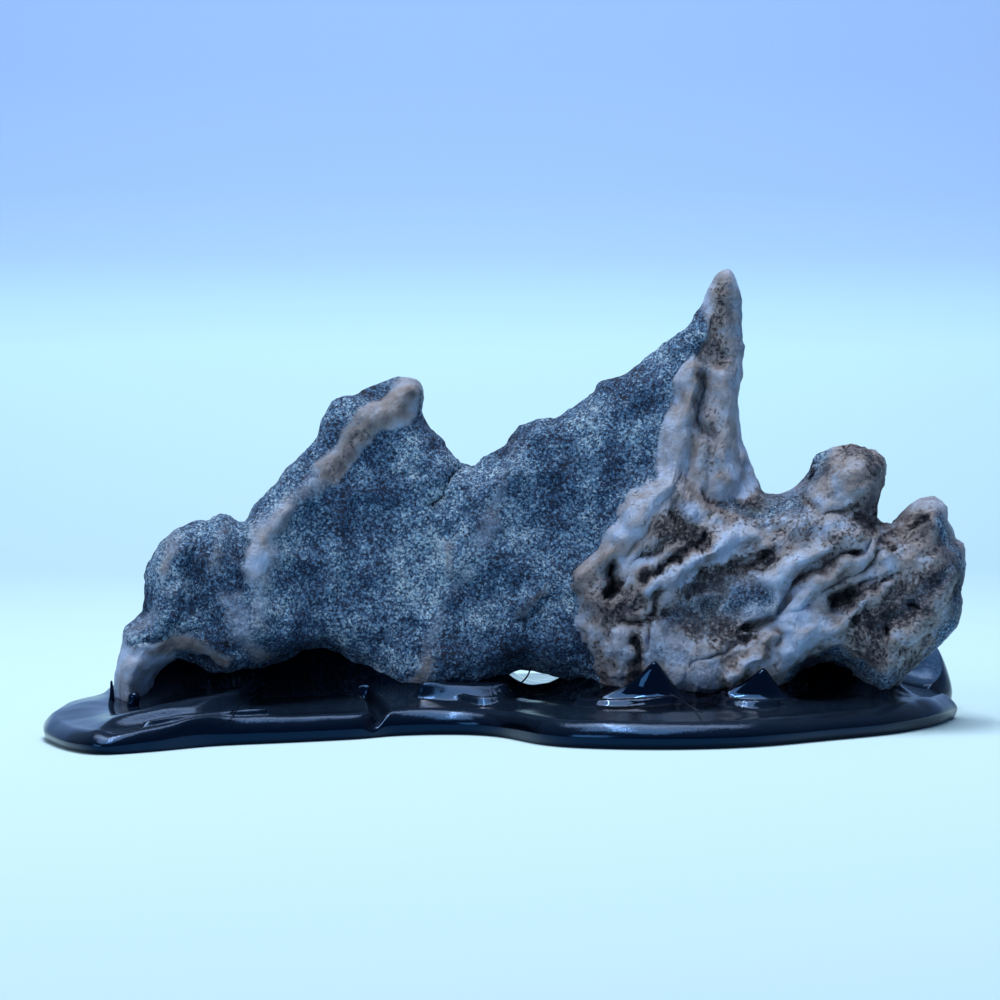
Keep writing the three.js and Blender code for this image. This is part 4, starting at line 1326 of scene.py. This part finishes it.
    def masks(
        self,
        points: Array,
        flat: Array,
        facing: Array,
        within: Array,
    ) -> tuple[dict[str, Array], Array]:
        """Where calcite, iron stain and pores lie, and painted shade in deep holes, from the strokes, the
        lump and its folds.

        The lump is calcite all over. It is soiled in blotches, more at its right end and in hollows and less
        where it stands proud and is rubbed. Soil brings tan, darker stain and pores, each in its own share,
        and so do the gullies between the folds.

        Args:
            points: places in space.
            flat: the same places on the face, moved a little so that no edge is straight.
            facing: 1 on the display face, 0 on the rear one, and between along the silhouette.
            within: true inside the lump's edge.

        Returns:
            One array from 0 to 1 for each painted attribute, and the height of the folds, from -1 to 1.
        """
        painted = {}
        for mark in (CALCITE, SCHIST, TAN, STAIN, PORES):
            back = brushed(flat, BACK_STROKES, mark)
            painted[mark] = back + (brushed(flat, FRONT_STROKES, mark) - back) * facing
        blotch = self.blotch.at(points)
        lump = within * np.maximum(facing, ease(*self.lump_round, points[:, 0] + self.lump_fray * blotch))
        folds = self.folds(points)
        calcite = np.maximum(lump, painted[CALCITE]) - painted[SCHIST]
        sunk = facing * brushed(flat, FRONT_STROKES, SINK)
        raised = facing * brushed(flat, FRONT_STROKES, RAISE)
        gully = ease(*self.gully_run, folds) * lump
        rubbed = 1.0 - self.rub * ease(*self.rub_run, raised - self.rub_sunk * sunk)
        soil = self.soil + self.soil_right * ease(*self.soil_right_run, points[:, 0])
        soil += self.soil_blotch * blotch + self.soil_sunk * ease(*self.soil_sunk_run, sunk)
        soil *= lump * rubbed
        masks = {
            "calcite": calcite + 0.2 * blotch * (calcite > 0.05),
            "tan": painted[TAN] + soil + 0.2 * gully,
            "stain": 0.38 * painted[STAIN] + 0.3 * soil + 0.12 * gully * rubbed,
            "pores": painted[PORES] + 0.7 * soil + 0.3 * gully * rubbed,
            # Painted shade at the bottom of deep holes, growing with the sunk stroke's depth.
            "hollow": self.hollow * ease(*self.hole_shade_run, sunk),
        }
        clipped = {name: np.clip(mask, 0.0, 1.0) for name, mask in masks.items()}
        return clipped, (0.25 + 0.75 * lump) * folds

    def folds(self, points: Array) -> Array:
        """Ridges and gullies of the flowstone: noise drawn out along the folds, or down the toes.

        A ridge runs where the noise is 0, and a gully where it is furthest from it.

        Args:
            points: places in space.

        Returns:
            A height from about -1 in the gullies to 1 on the ridges.
        """
        drawn = []
        for angle in (FOLD_RISE, TOE_FALL):
            along = points[:, 0] * math.cos(angle) + points[:, 2] * math.sin(angle)
            across = points[:, 2] * math.cos(angle) - points[:, 0] * math.sin(angle)
            squeezed = [along / self.streak_length, points[:, 1] / self.streak_depth, across]
            drawn.append(self.streaks.at(np.column_stack(squeezed)))
        upper = ease(FOLDS_TURN - FOLDS_TURN_HALF, FOLDS_TURN + FOLDS_TURN_HALF, points[:, 2])
        return 1.0 - 2.0 * np.abs(drawn[1] + (drawn[0] - drawn[1]) * upper)

    def weathered(
        self,
        points: Array,
        triangles: Array,
        masks: dict[str, Array],
        folds: Array,
    ) -> Array:
        """Moves the points along their normals: broken schist, rounded calcite, and pits in the calcite.

        Schist stands highest where its large noise is 0, which leaves facets with sharp ridges. A pit is
        deepest at a scattered point and ends half a spacing from it.

        Args:
            points: the smooth stone.
            triangles: its triangles.
            masks: its painted masks.
            folds: height of the folds.

        Returns:
            The rough stone.
        """
        schist = 0.5 * self.broken.height - np.abs(self.broken.at(points)) + self.rough.at(points)
        calcite = self.rounded.at(points) + self.fold_height * folds + self.knots.at(points)
        pits = ease(0.5, 0.15, cell_distance(points, self.wide_pits, Seed.WIDE_PITS))
        pits += 0.6 * ease(0.5, 0.2, cell_distance(points, self.fine_pits, Seed.FINE_PITS))
        calcite -= self.pit_depth * pits * masks["pores"]
        height = schist + (calcite - schist) * np.maximum(masks["calcite"], masks["pores"])
        return points + vertex_normals(points, triangles) * height[:, None]

    def dress(self) -> bpy.types.Object:
        """Makes the stone's piece with its finish and puts it in the frame.

        Returns:
            The piece.
        """
        points, triangles, masks = self.build()
        piece = make_piece("stone_surface", points, triangles, masks, SchistAndCalcite().material())
        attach(piece, BODY)
        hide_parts("stone")
        return piece


# The puddle's edge seen from above, in front and behind, from the left tip to the right lobe.
PUDDLE_FRONT: Path = (
    (-75.0, -22), (-73.5, -29), (-68.5, -40), (-63.0, -45), (-56.0, -41.5), (-47.0, -34),
    (-36.0, -29.5), (-26.0, -25), (-19.0, -20), (-10.0, -18.5), (-3.0, -22), (4.0, -33), (12.0, -37.5),
    (24.0, -38.6), (36.0, -35.5), (48.0, -27), (60.0, -17.5), (68.5, -6), (73.5, 6),
)
PUDDLE_BACK: Path = (
    (-74.2, -15), (-70.0, -6), (-68.5, 8), (-66.0, 22), (-57.0, 33), (-44.0, 38), (-32.0, 37),
    (-20.0, 42), (-4.0, 45), (14.0, 43), (30.0, 44), (48.0, 41), (62.0, 38), (72.0, 31), (75.0, 22),
    (71.0, 14), (73.0, 11),
)

# The edge of the pour's upper layer, from the front of the left lobe to the arch, and the way round behind.
LAYER_EDGE: Path = (
    (-63.8, -49.0), (-61.2, -40.5), (-55.0, -34.6), (-48.4, -30.0), (-43.8, -21.0), (-40.8, -9.0),
    (-40.0, 4.0),
)
LAYER_BEHIND: Path = ((-40.0, 60.0), (-90.0, 60.0), (-90.0, -49.0))

# Creases and waves in the poured skin, seen from above.
SKIN_STROKES: tuple[Stroke, ...] = (
    # The crease where two tongues of resin met.
    SINK(1.8, (-21.4, -25.0, 2.2), (-22.5, -15.0, 1.8), (-25.0, -8.0, 1.2)),
    # The lower fold at the front left, and the lip of the right tongue.
    WAVE(1.0, (-57.0, -39.0, 0.6), (-51.0, -34.4, 1.3), (-45.0, -29.8, 1.3), (-39.0, -27.2, 0.6)),
    WAVE(0.9, (60.5, 3.0, 0.7), (65.0, 5.4, 1.3), (70.5, 8.6, 1.2)),
    # Waves that set against the middle foot and in front of it and the lump.
    WAVE(2.0, (-15.4, -10.0, 1.6), (-11.0, -8.8, 3.6), (-6.0, -7.6, 3.8), (-2.4, -6.6, 2.2)),
    WAVE(1.1, (-9.0, -11.0, 1.0), (-5.6, -13.0, 1.6), (-3.0, -11.4, 1.3), (-2.4, -8.4, 0.8)),
    WAVE(1.25, (9.6, -19.0, 1.0), (13.4, -21.8, 1.9), (18.0, -21.6, 1.9), (25.0, -18.6, 1.0)),
    WAVE(1.35, (32.6, -16.6, 0.9), (33.4, -20.4, 1.7), (36.8, -22.8, 1.9), (41.0, -20.6, 0.9)),
    # The valley between the right tongue and the lifted lobe behind it.
    SINK(2.8, (76.0, 13.8, 2.4), (69.0, 12.2, 2.6), (62.0, 10.0, 1.8)),
)


# How many of the shore's points are measured at once, and what blunts and scales the distance to them.
SHORE_BLOCK = 64
SHORE_BLUNT = 0.1
SHORE_SCALE = 1.25
# Points between two of a layer's or a stroke's own, where they are drawn as curves over the skin.
LAYER_STEPS = 48
SKIN_STEPS = 18
# A direction that no string of resin runs along.
ASKEW = (0.31, 0.83, 0.46)


def shore_distance(plan: Array, shore: Array) -> Array:
    """A distance to the shore with no creases: every place on it counts, the nearest by far the most.

    Args:
        plan: places, x and y to a row.
        shore: places on the shore, x and y to a row.

    Returns:
        One distance for each place.
    """
    crowd = np.zeros(len(plan))
    for block in np.array_split(shore, max(1, len(shore) // SHORE_BLOCK)):
        apart = np.sum((plan[:, None] - block[None]) ** 2, axis=2)
        crowd += np.sum((apart + SHORE_BLUNT) ** -4.0, axis=1)
    return SHORE_SCALE * crowd ** -0.125


@dataclass(frozen=True)
class Heap:
    """A mound of resin.

    Attributes:
        x: its middle.
        y: its middle.
        long: its half length along x.
        wide: its half length along y.
        rise: its height.
        roundness: 1 for a bell, less for a cusp, more for a flat top.
    """

    x: float
    y: float
    long: float
    wide: float
    rise: float
    roundness: float = 1.0

    def at(self, plan: Array) -> Array:
        """Its height at each place."""
        off = ((plan[:, 0] - self.x) / self.long) ** 2 + ((plan[:, 1] - self.y) / self.wide) ** 2
        return self.rise * np.exp(-(off**self.roundness))


@dataclass
class Base:
    """The poured base: a flat-bottomed puddle with a rounded rim and a skin that climbs to the stone.

    Attributes:
        stations: points along each of the front and back edges.
        top_rows: rows from the rim in to the middle of the skin.
        rim_rows: rows round the rim.
        row_power: over 1, the skin's rows lie closer together towards its middle.
        width: overall size along x.
        depth: overall size along y.
        spine_left: left end of the line that the rows start from.
        spine_right: right end of that line.
        fan: length of edge averaged to spread the stations along the spine.
        skin: height of the skin away from the stone and the rim.
        rim: height of the rim.
        tip: height of the rim at the thin left tip.
        tip_run: the range of x over which the tip thickens.
        rim_slope: distance over which the skin climbs from the rim.
        rim_radius: how far the rim draws in under its widest line.
        shoulder: how far the rim draws in above that line.
        widest: height of the widest line, as a share of the rim's.
        slump: 1 for a round rim, more for one that has sunk to a slope.
        rise: how much higher the resin stands against the stone.
        rise_run: distance over which it falls away.
        rise_blunt: distance over which its top is rounded off.
        rise_left: the share of the rise that is left at the left foot.
        rise_left_run: the range of x over which it grows to the full rise.
        rise_waves: how the rise comes and goes along the shore.
        waterline: height at which the stone's outline is taken as the shore.
        layer: height of the upper layer's edge at the left.
        layer_step: where that edge begins and ends, from its line backwards.
        layer_run: distance over which that layer sinks away behind its edge.
        layer_ends: the range of y over which it starts from nothing under the arch.
        layer_rim: the share of it that is left at the rim.
        layer_rim_run: distances from the edge over which it grows to its full height.
        layer_flat: how far behind its edge it stays level.
        ripple: low ripples all over the skin.
        satin_band: distances from the edge where the skin is all glossy and where it is all satin.
        satin_fray: noise that frays that band.
        left_lobe: the range of x over which the left lobe turns satin.
        right_lobe: the same at the right.
        petal_x: the range of x over which the lifted lobe takes its painted reflection.
        petal_y: the same along y.
        petal_painted_reflection: how strongly the painted reflection lightens the lifted lobe.
        satin_sheen_and_dust: how much painted sheen and dust lighten the satin skin.
        level_run: upward parts of a normal where none of that lies and where all of it does, so that tops are
            painted lighter than sides.
        heaps: mounds under the arches, cusps against the stone, and the lifted lobe at the right.
    """

    stations: int = 300
    top_rows: int = 96
    rim_rows: int = 20
    row_power: float = 1.15
    width: float = 150.0
    depth: float = 90.0
    spine_left: float = -52.0
    spine_right: float = 54.0
    fan: float = 36.0
    skin: float = 4.7
    rim: float = 4.0
    tip: float = 2.7
    tip_run: tuple[float, float] = (-66.0, -50.0)
    rim_slope: float = 7.0
    rim_radius: float = 0.9
    shoulder: float = 2.9
    widest: float = 0.42
    slump: float = 1.4
    rise: float = 3.2
    rise_run: float = 3.0
    rise_blunt: float = 0.8
    rise_left: float = 0.2
    rise_left_run: tuple[float, float] = (-56.0, -44.0)
    rise_waves: Unevenness = Unevenness(0.45, 7.0, Seed.SHORE, 2)
    waterline: float = 5.6
    layer: float = 2.2
    layer_step: tuple[float, float] = (-0.8, 2.2)
    layer_run: float = 16.0
    layer_ends: tuple[float, float] = (4.0, -12.0)
    layer_rim: float = 0.3
    layer_rim_run: tuple[float, float] = (2.0, 9.0)
    layer_flat: float = 2.0
    ripple: Unevenness = Unevenness(0.22, 16.0, Seed.SKIN, 3)
    satin_band: tuple[float, float] = (14.0, 9.0)
    satin_fray: Unevenness = Unevenness(2.0, 9.0, Seed.SATIN, 3)
    left_lobe: tuple[float, float] = (-50.0, -62.0)
    right_lobe: tuple[float, float] = (60.0, 68.0)
    petal_x: tuple[float, float] = (60.0, 66.0)
    petal_y: tuple[float, float] = (13.0, 18.0)
    # Painted light: a reflection on the lifted lobe and a sheen on the satin skin's upward faces, with some
    # dust.
    petal_painted_reflection: float = 1.3
    satin_sheen_and_dust: float = 0.12
    level_run: tuple[float, float] = (0.35, 0.95)
    heaps: tuple[Heap, ...] = (
        Heap(-70.0, -14.0, 6.5, 13.0, 2.0),
        Heap(-60.0, -2.0, 8.0, 9.0, 2.2),
        Heap(-54.0, 0.0, 6.0, 7.0, 3.4),
        Heap(-39.0, 4.0, 23.0, 9.0, 9.4),
        Heap(-7.0, 12.0, 6.0, 8.0, 4.6),
        Heap(52.0, 9.0, 6.0, 8.0, 5.4),
        Heap(19.4, -14.2, 6.4, 1.3, 2.2),
        Heap(22.0, -14.0, 2.6, 1.5, 4.0, 0.75),
        Heap(37.0, -15.4, 5.6, 1.3, 2.0),
        Heap(39.4, -15.2, 2.4, 1.5, 3.4, 0.7),
        Heap(68.0, 27.0, 10.0, 9.0, 7.6, 1.4),
    )

    def skin_height(self, plan: Array, inland: Array, shore: Array) -> Array:
        """Height of the skin: climbing from the rim, rising to the stone, layered, heaped and rippled.

        Args:
            plan: places, x and y to a row.
            inland: their distances from the edge.
            shore: places on the stone's outline at the waterline, x and y to a row.

        Returns:
            Heights above the ground.
        """
        x, y = plan.T
        still = np.column_stack([plan, np.zeros(len(plan))])
        inner = ease(*self.tip_run, x)
        rim = self.tip + (self.rim - self.tip) * inner
        skin = self.tip + (self.skin - self.tip) * inner
        height = rim + (skin - rim) * ease(self.shoulder, self.shoulder + self.rim_slope, inland)
        wavy = self.rise_left + (1.0 - self.rise_left) * ease(*self.rise_left_run, x)
        wavy *= 1.0 + self.rise_waves.at(still)
        near = np.hypot(shore_distance(plan, shore), self.rise_blunt)
        height += self.rise * wavy * np.exp(-near / self.rise_run)
        behind = within_edge(plan, curve_through(LAYER_EDGE, LAYER_STEPS), LAYER_BEHIND)[1]
        fade = self.layer_rim + (1.0 - self.layer_rim) * ease(*self.layer_rim_run, inland)
        fade *= np.exp(-np.maximum(behind - self.layer_flat, 0.0) / self.layer_run)
        fade *= ease(*self.layer_ends, y)
        height += self.layer * fade * ease(*self.layer_step, behind)
        height += sum(heap.at(plan) for heap in self.heaps)
        curved = tuple(Stroke(s.mark, s.amount, curve_through(s.path, SKIN_STEPS)) for s in SKIN_STROKES)
        height += brushed(plan, curved, WAVE) - brushed(plan, curved, SINK)
        return height + self.ripple.at(still)

    def build(self, shore: Array) -> tuple[Array, Array, dict[str, Array]]:
        """Works out the base's surface.

        Rings of stations run from a line under the middle out to the edge, up the rim in two quarter
        ellipses, a narrow one to its widest line and a broad one over its shoulder, as high as the skin
        is there, and back in over the skin to the line's upper copy.

        Args:
            shore: places where the stone comes down to the resin.

        Returns:
            Points in millimetres, triangles, and the painted masks.
        """
        edge, share = ring_stations(PUDDLE_FRONT, PUDDLE_BACK, self.stations, self.fan)
        for axis, size in enumerate((self.width, self.depth)):
            low, high = edge[:, axis].min(), edge[:, axis].max()
            edge[:, axis] = (edge[:, axis] - (low + high) / 2) * size / (high - low)
        root = np.column_stack([self.spine_left + (self.spine_right - self.spine_left) * share, 0.0 * share])
        length = np.linalg.norm(edge - root, axis=1)
        shoulder = 1.0 - self.shoulder / length
        turn = np.linspace(-0.5 * np.pi, 0.5 * np.pi, self.rim_rows)
        inset = np.where(turn < 0.0, self.rim_radius, self.shoulder) * (1.0 - np.cos(turn) ** self.slump)
        rise = np.sign(turn) * np.abs(np.sin(turn)) ** self.slump
        climb = self.widest + np.where(turn < 0.0, self.widest, 1.0 - self.widest) * rise
        bulge = 1.0 - inset[:, None] / length[None]
        top = np.linspace(1.0, 0.0, self.top_rows)[1:, None] ** self.row_power * shoulder[None]
        reach = np.vstack([np.zeros((1, len(edge))), 0.5 * shoulder[None], bulge, top])
        plan = root[None] + (edge - root)[None] * reach[:, :, None]
        inland = distance_to_path(plan.reshape(-1, 2), np.vstack([edge[::2], edge[:1]]))
        first = 1 + self.rim_rows
        skin = self.skin_height(plan[first:].reshape(-1, 2), inland[first * len(edge):], shore)
        skin = skin.reshape(-1, len(edge))
        height = np.zeros(reach.shape)
        height[2:first + 1] = skin[0] * climb[:, None]
        height[first:] = skin
        triangles, used = sealed_triangles(*reach.shape)
        points = np.dstack([plan, height]).reshape(-1, 3)[used]
        return points, triangles, self.masks(points, triangles, inland[used])

    def masks(self, points: Array, triangles: Array, inland: Array) -> dict[str, Array]:
        """Where the resin is satin, along the edge and on the two lobes, and where dust and painted sheen
        lighten its upward faces, with a painted reflection on the lifted lobe.

        Args:
            points: the base's points.
            triangles: its triangles.
            inland: distances from the edge, one for each point.

        Returns:
            One array for each painted attribute.
        """
        x, y, _ = points.T
        lobes = np.maximum(ease(*self.left_lobe, x), ease(*self.right_lobe, x))
        satin = np.maximum(ease(*self.satin_band, inland + self.satin_fray.at(points)), lobes)
        # Upward faces are painted lighter, as sheen with some dust; the lifted lobe gets a painted
        # reflection.
        level = ease(*self.level_run, vertex_normals(points, triangles)[:, 2])
        petal = ease(*self.petal_x, x) * ease(*self.petal_y, y)
        return {"satin": satin, "dust": (self.satin_sheen_and_dust * satin + self.petal_painted_reflection * petal) * level}

    def dress(self, stone: bpy.types.Object, finish: bpy.types.Material) -> bpy.types.Object:
        """Makes the base's piece with its finish and puts it in the frame.

        Args:
            stone: the stone's piece.
            finish: the resin.

        Returns:
            The piece.
        """
        points, triangles, masks = self.build(level_outline(stone, self.waterline))
        piece = make_piece("base_surface", points, triangles, masks, finish)
        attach(piece, BODY)
        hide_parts("base")
        return piece


@dataclass(frozen=True)
class String:
    """A fine thread or spike of resin.

    Attributes:
        name: its piece's name.
        route: places that it passes through, in space.
        start_radius: its radius at the first of them.
        end_radius: its radius at the last.
    """

    name: str
    route: Path
    start_radius: float
    end_radius: float


@dataclass
class ResinStrings:
    """Threads, a spike and a drop that the pour drew out and left behind.

    Attributes:
        around: points round a string.
        along: points along it.
        strings: the strings.
    """

    around: int = 10
    along: int = 48
    strings: tuple[String, ...] = (
        String("foot_spike", ((-65.4, -14.6, 2.6), (-65.0, -15.0, 5.6), (-65.1, -14.8, 8.4)), 0.8, 0.16),
        String("foot_drop", ((-61.4, -18.4, 3.0), (-61.2, -18.5, 5.0), (-60.9, -18.4, 6.9)), 0.9, 1.05),
        String("long_thread", ((-44.6, -33.4, 5.0), (-42.0, -22.0, 6.4), (-38.6, -9.0, 7.6)), 0.14, 0.1),
        String("front_thread", ((24.0, -17.0, 6.6), (26.6, -24.0, 5.4), (28.4, -32.0, 5.0)), 0.14, 0.1),
        String("arch_thread", ((0.0, -6.0, 6.6), (1.6, -3.0, 8.0), (2.4, 4.0, 9.4)), 0.14, 0.14),
    )

    def tube(self, string: String) -> tuple[Array, Array]:
        """A string's surface: a circle carried along its route, shrinking evenly, with round ends.

        Args:
            string: the string.

        Returns:
            Points in millimetres and triangles.
        """
        path = curve_through(string.route, self.along)
        ahead = np.gradient(path, axis=0)
        ahead /= np.linalg.norm(ahead, axis=1, keepdims=True)
        side = np.cross(ahead, ASKEW)
        side /= np.linalg.norm(side, axis=1, keepdims=True)
        up = np.cross(side, ahead)
        radius = np.linspace(string.start_radius, string.end_radius, self.along)
        walked = np.concatenate([[0.0], np.cumsum(np.linalg.norm(np.diff(path, axis=0), axis=1))])
        to_end = np.minimum(walked, walked[-1] - walked)
        radius *= np.sqrt(1.0 - (1.0 - np.minimum(to_end / radius, 1.0)) ** 2)
        turn = np.linspace(0.0, 2.0 * np.pi, self.around, endpoint=False)
        circle = np.cos(turn)[None, :, None] * side[:, None] + np.sin(turn)[None, :, None] * up[:, None]
        points = path[:, None] + radius[:, None, None] * circle
        triangles, used = sealed_triangles(self.along, self.around)
        return points.reshape(-1, 3)[used], triangles

    def dress(self, finish: bpy.types.Material) -> list[bpy.types.Object]:
        """Makes every string's piece and puts it in the frame.

        Args:
            finish: the resin.

        Returns:
            The pieces.
        """
        pieces = []
        for string in self.strings:
            points, triangles = self.tube(string)
            clean = np.zeros(len(points))
            piece = make_piece(string.name, points, triangles, {"satin": clean, "dust": clean}, finish)
            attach(piece, BODY)
            pieces.append(piece)
        return pieces


@dataclass(frozen=True)
class SoftPanel:
    """A rectangular light.

    Attributes:
        name: what it is called.
        place: its middle, in metres.
        target: the place that it faces, in metres.
        size: its two sides, in metres.
        watts: its power.
    """

    name: str
    place: tuple[float, float, float]
    target: tuple[float, float, float]
    size: tuple[float, float]
    watts: float


@dataclass
class Studio:
    """A pale sweep of card, soft lights and the camera.

    Attributes:
        eye: the camera's place, in millimetres.
        tilt: how far it looks down, in degrees.
        focal: focal length in pixels of a picture 1000 pixels wide.
        card: the sweep's colours, from the ground up.
        card_fade: the height over which they change.
        near: where the sweep starts, in front of the object.
        flat_to: where it starts to bend up behind it.
        bend: the radius of the bend.
        wall: height of the wall over the bend.
        half: half the sweep's width.
        sky: the colour of the light all round.
        sky_strength: its strength.
        panels: the lights.
    """

    eye: tuple[float, float, float] = (-2.9, -500.0, 55.0)
    tilt: float = 2.09
    focal: float = 3040.0
    card: Stops = (
        (0.0, "#bddfea"),
        (0.29, "#c0e7f2"),
        (0.36, "#b5ddf0"),
        (0.44, "#a5c9ed"),
        (0.55, "#9bbeea"),
        (0.75, "#95b7e6"),
    )
    card_fade: float = 240.0
    near: float = -1500.0
    flat_to: float = 420.0
    bend: float = 300.0
    wall: float = 100.0
    half: float = 1500.0
    sky: str = "#9fc4f2"
    sky_strength: float = 0.35
    panels: tuple[SoftPanel, ...] = (
        SoftPanel("overhead_panel", (-0.03, -0.06, 0.7), (0.0, 0.0, 0.03), (0.42, 0.4), 2.6),
        SoftPanel("overhead_bar", (-0.05, 0.0, 0.55), (0.0, 0.0, 0.03), (0.3, 0.012), 0.8),
        SoftPanel("front_left", (-0.7, -0.9, 0.7), (0.0, 0.0, 0.03), (0.6, 0.6), 5.0),
        SoftPanel("background_wash", (0.0, 0.2, 0.75), (0.0, 0.7, 0.1), (0.7, 0.3), 3.2),
    )

    def card_finish(self) -> bpy.types.Material:
        """The card, whose colour changes with height.

        Returns:
            The material.
        """
        material, add, place = start_material("pale_card")
        height = add("SeparateXYZ", {"Vector": place})["Z"]
        share = add("MapRange", {"Value": height, "From Max": self.card_fade * MM})["Result"]
        colour = add("ValToRGB", {"Fac": share}, stops=self.card)["Color"]
        shader = add("BsdfPrincipled", {"Base Color": colour, "Roughness": 0.8})["BSDF"]
        add("OutputMaterial", {"Surface": shader})
        return material

    def floor(self) -> bpy.types.Object:
        """The sweep: flat under the object, then a quarter circle up into a wall behind it.

        Returns:
            The floor's object.
        """
        turn = np.linspace(0.0, 0.5 * np.pi, 24)
        level = np.linspace(self.near, self.flat_to, 12)
        bend = [self.flat_to + self.bend * np.sin(turn), self.bend * (1.0 - np.cos(turn))]
        profile = np.vstack([
            np.column_stack([level, np.zeros(len(level))]),
            np.column_stack(bend),
            np.array([[self.flat_to + self.bend, self.bend + self.wall]]),
        ])
        x = np.linspace(-self.half, self.half, 9)
        points = np.empty((len(profile), len(x), 3))
        points[:, :, 0] = x[None]
        points[:, :, 1:] = profile[:, None]
        index = np.arange(len(profile) * len(x)).reshape(len(profile), len(x))
        triangles = grid_triangles(index[:, :-1], index[:, 1:])
        sweep = make_piece("floor", points.reshape(-1, 3), triangles, {}, self.card_finish())
        return sweep

    def lights(self) -> None:
        """Four soft panels, each turned to its target, and weak light from all round."""
        world = bpy.data.worlds.new("soft_room")
        world.use_nodes = True
        ambient = world.node_tree.nodes["Background"]
        ambient.inputs["Color"].default_value = linear(self.sky)
        ambient.inputs["Strength"].default_value = self.sky_strength
        bpy.context.scene.world = world
        for panel in self.panels:
            lamp = bpy.data.lights.new(panel.name, "AREA")
            lamp.shape = "RECTANGLE"
            lamp.size, lamp.size_y = panel.size
            lamp.energy = panel.watts
            light = bpy.data.objects.new(panel.name, lamp)
            light.location = panel.place
            x, y, z = np.array(panel.target) - np.array(panel.place)
            light.rotation_euler = (math.atan2(math.hypot(x, y), -z), 0.0, math.atan2(x, -y) + math.pi)
            bpy.context.scene.collection.objects.link(light)

    def camera(self) -> None:
        """The camera, in front of the display face and a little above it, looking slightly down."""
        lens = bpy.data.cameras.new("camera")
        lens.sensor_width = 36.0
        lens.lens = self.focal * lens.sensor_width / 1000.0
        lens.clip_start = 0.01
        camera = bpy.data.objects.new("camera", lens)
        camera.location = tuple(c * MM for c in self.eye)
        camera.rotation_euler = (math.radians(90.0 - self.tilt), 0.0, 0.0)
        bpy.context.scene.collection.objects.link(camera)
        bpy.context.scene.camera = camera


def main() -> None:
    """Builds the studio, the stone, the base and the resin strings, and logs each piece's triangles."""
    logging.basicConfig(level=logging.INFO, format="%(message)s")
    bpy.context.scene.view_settings.view_transform = "Standard"
    studio = Studio()
    studio.camera()
    studio.floor()
    studio.lights()
    stone = Stone().dress()
    resin = PouredResin().material()
    base = Base().dress(stone, resin)
    for piece in (stone, base, *ResinStrings().dress(resin)):
        LOG.info("%s: %d triangles", piece.name, len(piece.data.polygons))


if __name__ == "__main__":
    main()
